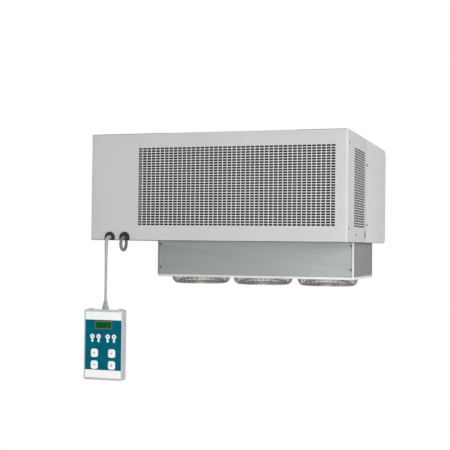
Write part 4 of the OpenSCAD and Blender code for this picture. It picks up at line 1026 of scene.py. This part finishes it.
def make_gland():
    """Ribbed cone that holds the control cord on the handset."""
    low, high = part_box("strain_relief")
    foot, neck = (high.x - low.x) / 2, 0.0064
    tall = high.z - low.z
    ribs, groove = 6, 0.0022
    step = (tall - 0.007) / ribs
    points = [(0.0044, 0), (foot, 0), (foot, 0.003)]
    for i in range(ribs):
        start = 0.004 + i * step
        outer = foot + (neck - foot) * (start + step / 2) / tall
        points += [(outer - groove, start), (outer - groove, start + 0.3 * step),
                   (outer, start + 0.42 * step), (outer, start + 0.88 * step),
                   (outer - 0.0006, start + step)]
    points += [(neck, tall - 0.003), (neck, tall - 0.0008), (neck - 0.0008, tall), (0.0047, tall),
               (0.0044, 0)]
    bm = bmesh.new()
    turned_profile(bm, points, 32)
    middle = (low + high) / 2
    bmesh.ops.translate(bm, verts=bm.verts, vec=(middle.x, middle.y, low.z))
    finish_piece("ribbed_gland", bm, relief_plastic, "handset", ["strain_relief"])


def lens_pattern():
    """Small domed lens on z = 0."""
    bm = bmesh.new()
    turned_profile(bm, [(0, 0.0011), (0.0012, 0.0009), (0.0020, 0.0004), (0.0023, 0), (0, 0)], 20)
    return as_mesh("lens_pattern", bm, 60.0)


def make_lamps():
    """Small lenses at the feet of the indicators, and a small printed mark in each head."""
    lens = lens_pattern()
    plate = bmesh.new()
    rounded_plate(plate, 0.0045, 0.0060, 0.0020, 0.0, INK)
    sign = as_mesh("indicator_mark", plate)
    lens_drop, sign_drop, least_height = 0.026, 0.009, 0.0165
    lamps = bmesh.new()
    marks = bmesh.new()
    for low, high in islands("remote_indicators"):
        if high.z - low.z > least_height:
            x = (low.x + high.x) / 2
            stamp(lamps, lens, Matrix.Translation((x, low.y, high.z - lens_drop)) @ towards(-Y))
            stamp(marks, sign, Matrix.Translation((x, low.y - 0.0001, high.z - sign_drop)))
    finish_piece("indicator_lamps", lamps, lamp_cyan, "handset", outward=False)
    finish_piece("indicator_marks", marks, mark_grey, "handset")


make_gland()
make_lamps()
make_key("upper_left_button", "upper_left_key", "up")
make_key("upper_right_button", "upper_right_key", "dot")
make_key("lower_left_button", "lower_left_key", "bar")
make_key("lower_right_button", "lower_right_key", "down")
for half in ("front", "back"):
    smooth_copy(f"handset_{half}_half", f"remote_{half}_shell", shell_plastic,
                "handset", edge=0.0006)


# Light and stage

# Place of the floor, half its width, and strength of the room's light
FLOOR_PLACE = Matrix.Translation((0, 0, -1.6))
FLOOR_SIZE = 15.0
ROOM_LIGHT = 0.42


def make_stage():
    """White floor far below the unit, pure white as the camera sees it."""
    bm = bmesh.new()
    bmesh.ops.create_grid(bm, x_segments=1, y_segments=1, size=FLOOR_SIZE, matrix=FLOOR_PLACE)
    mesh = bpy.data.meshes.new("floor")
    bm.to_mesh(mesh)
    bm.free()
    floor = bpy.data.objects.new("floor", mesh)
    scene.collection.objects.link(floor)
    finish = Finish("floor_white", (0.9, 0.9, 0.9), 0.8)
    finish.paint((0.89, 0.89, 0.89), (0.91, 0.91, 0.91), finish.noise(2.0))
    tree = finish.tree
    path = tree.nodes.new("ShaderNodeLightPath")
    glow = tree.nodes.new("ShaderNodeEmission")
    mix = tree.nodes.new("ShaderNodeMixShader")
    tree.links.new(path.outputs["Is Camera Ray"], mix.inputs[0])
    tree.links.new(finish.shader.outputs[0], mix.inputs[1])
    tree.links.new(glow.outputs[0], mix.inputs[2])
    tree.links.new(mix.outputs[0], tree.nodes["Material Output"].inputs["Surface"])
    mesh.materials.append(finish.material)


def make_world():
    """Even room light, pure white as the camera sees it."""
    world = bpy.data.worlds.new("studio")
    world.use_nodes = True
    scene.world = world
    tree = world.node_tree
    tree.nodes.clear()
    path = tree.nodes.new("ShaderNodeLightPath")
    room = tree.nodes.new("ShaderNodeBackground")
    room.inputs["Color"].default_value = (1, 1, 1, 1)
    room.inputs["Strength"].default_value = ROOM_LIGHT
    white = tree.nodes.new("ShaderNodeBackground")
    white.inputs["Color"].default_value = (1, 1, 1, 1)
    seen = tree.nodes.new("ShaderNodeMath")
    seen.operation = "MAXIMUM"
    tree.links.new(path.outputs["Is Camera Ray"], seen.inputs[0])
    tree.links.new(path.outputs["Is Transmission Ray"], seen.inputs[1])
    mix = tree.nodes.new("ShaderNodeMixShader")
    tree.links.new(seen.outputs[0], mix.inputs[0])
    tree.links.new(room.outputs[0], mix.inputs[1])
    tree.links.new(white.outputs[0], mix.inputs[2])
    output = tree.nodes.new("ShaderNodeOutputWorld")
    tree.links.new(mix.outputs[0], output.inputs["Surface"])


def area_light(name, place, target, size, power):
    """Round lamp at place, turned to target, with its size in metres and its power in watts."""
    data = bpy.data.lights.new(name, "AREA")
    data.shape = "DISK"
    data.size = size
    data.energy = power
    lamp = bpy.data.objects.new(name, data)
    lamp.location = place
    lamp.rotation_euler = (Vector(target) - Vector(place)).to_track_quat("-Z", "Y").to_euler()
    scene.collection.objects.link(lamp)


make_stage()
make_world()
area_light("key", (3.9, -1.6, 1.1), (0.2, 0, 0.1), 2.6, 85.0)
area_light("fill", (0.9, -4.0, -0.2), (0.1, -0.4, 0), 3.0, 62.0)
area_light("back", (-2.4, 3.6, 2.0), (0, 0, 0), 2.6, 60.0)

scene.view_settings.view_transform = "Standard"
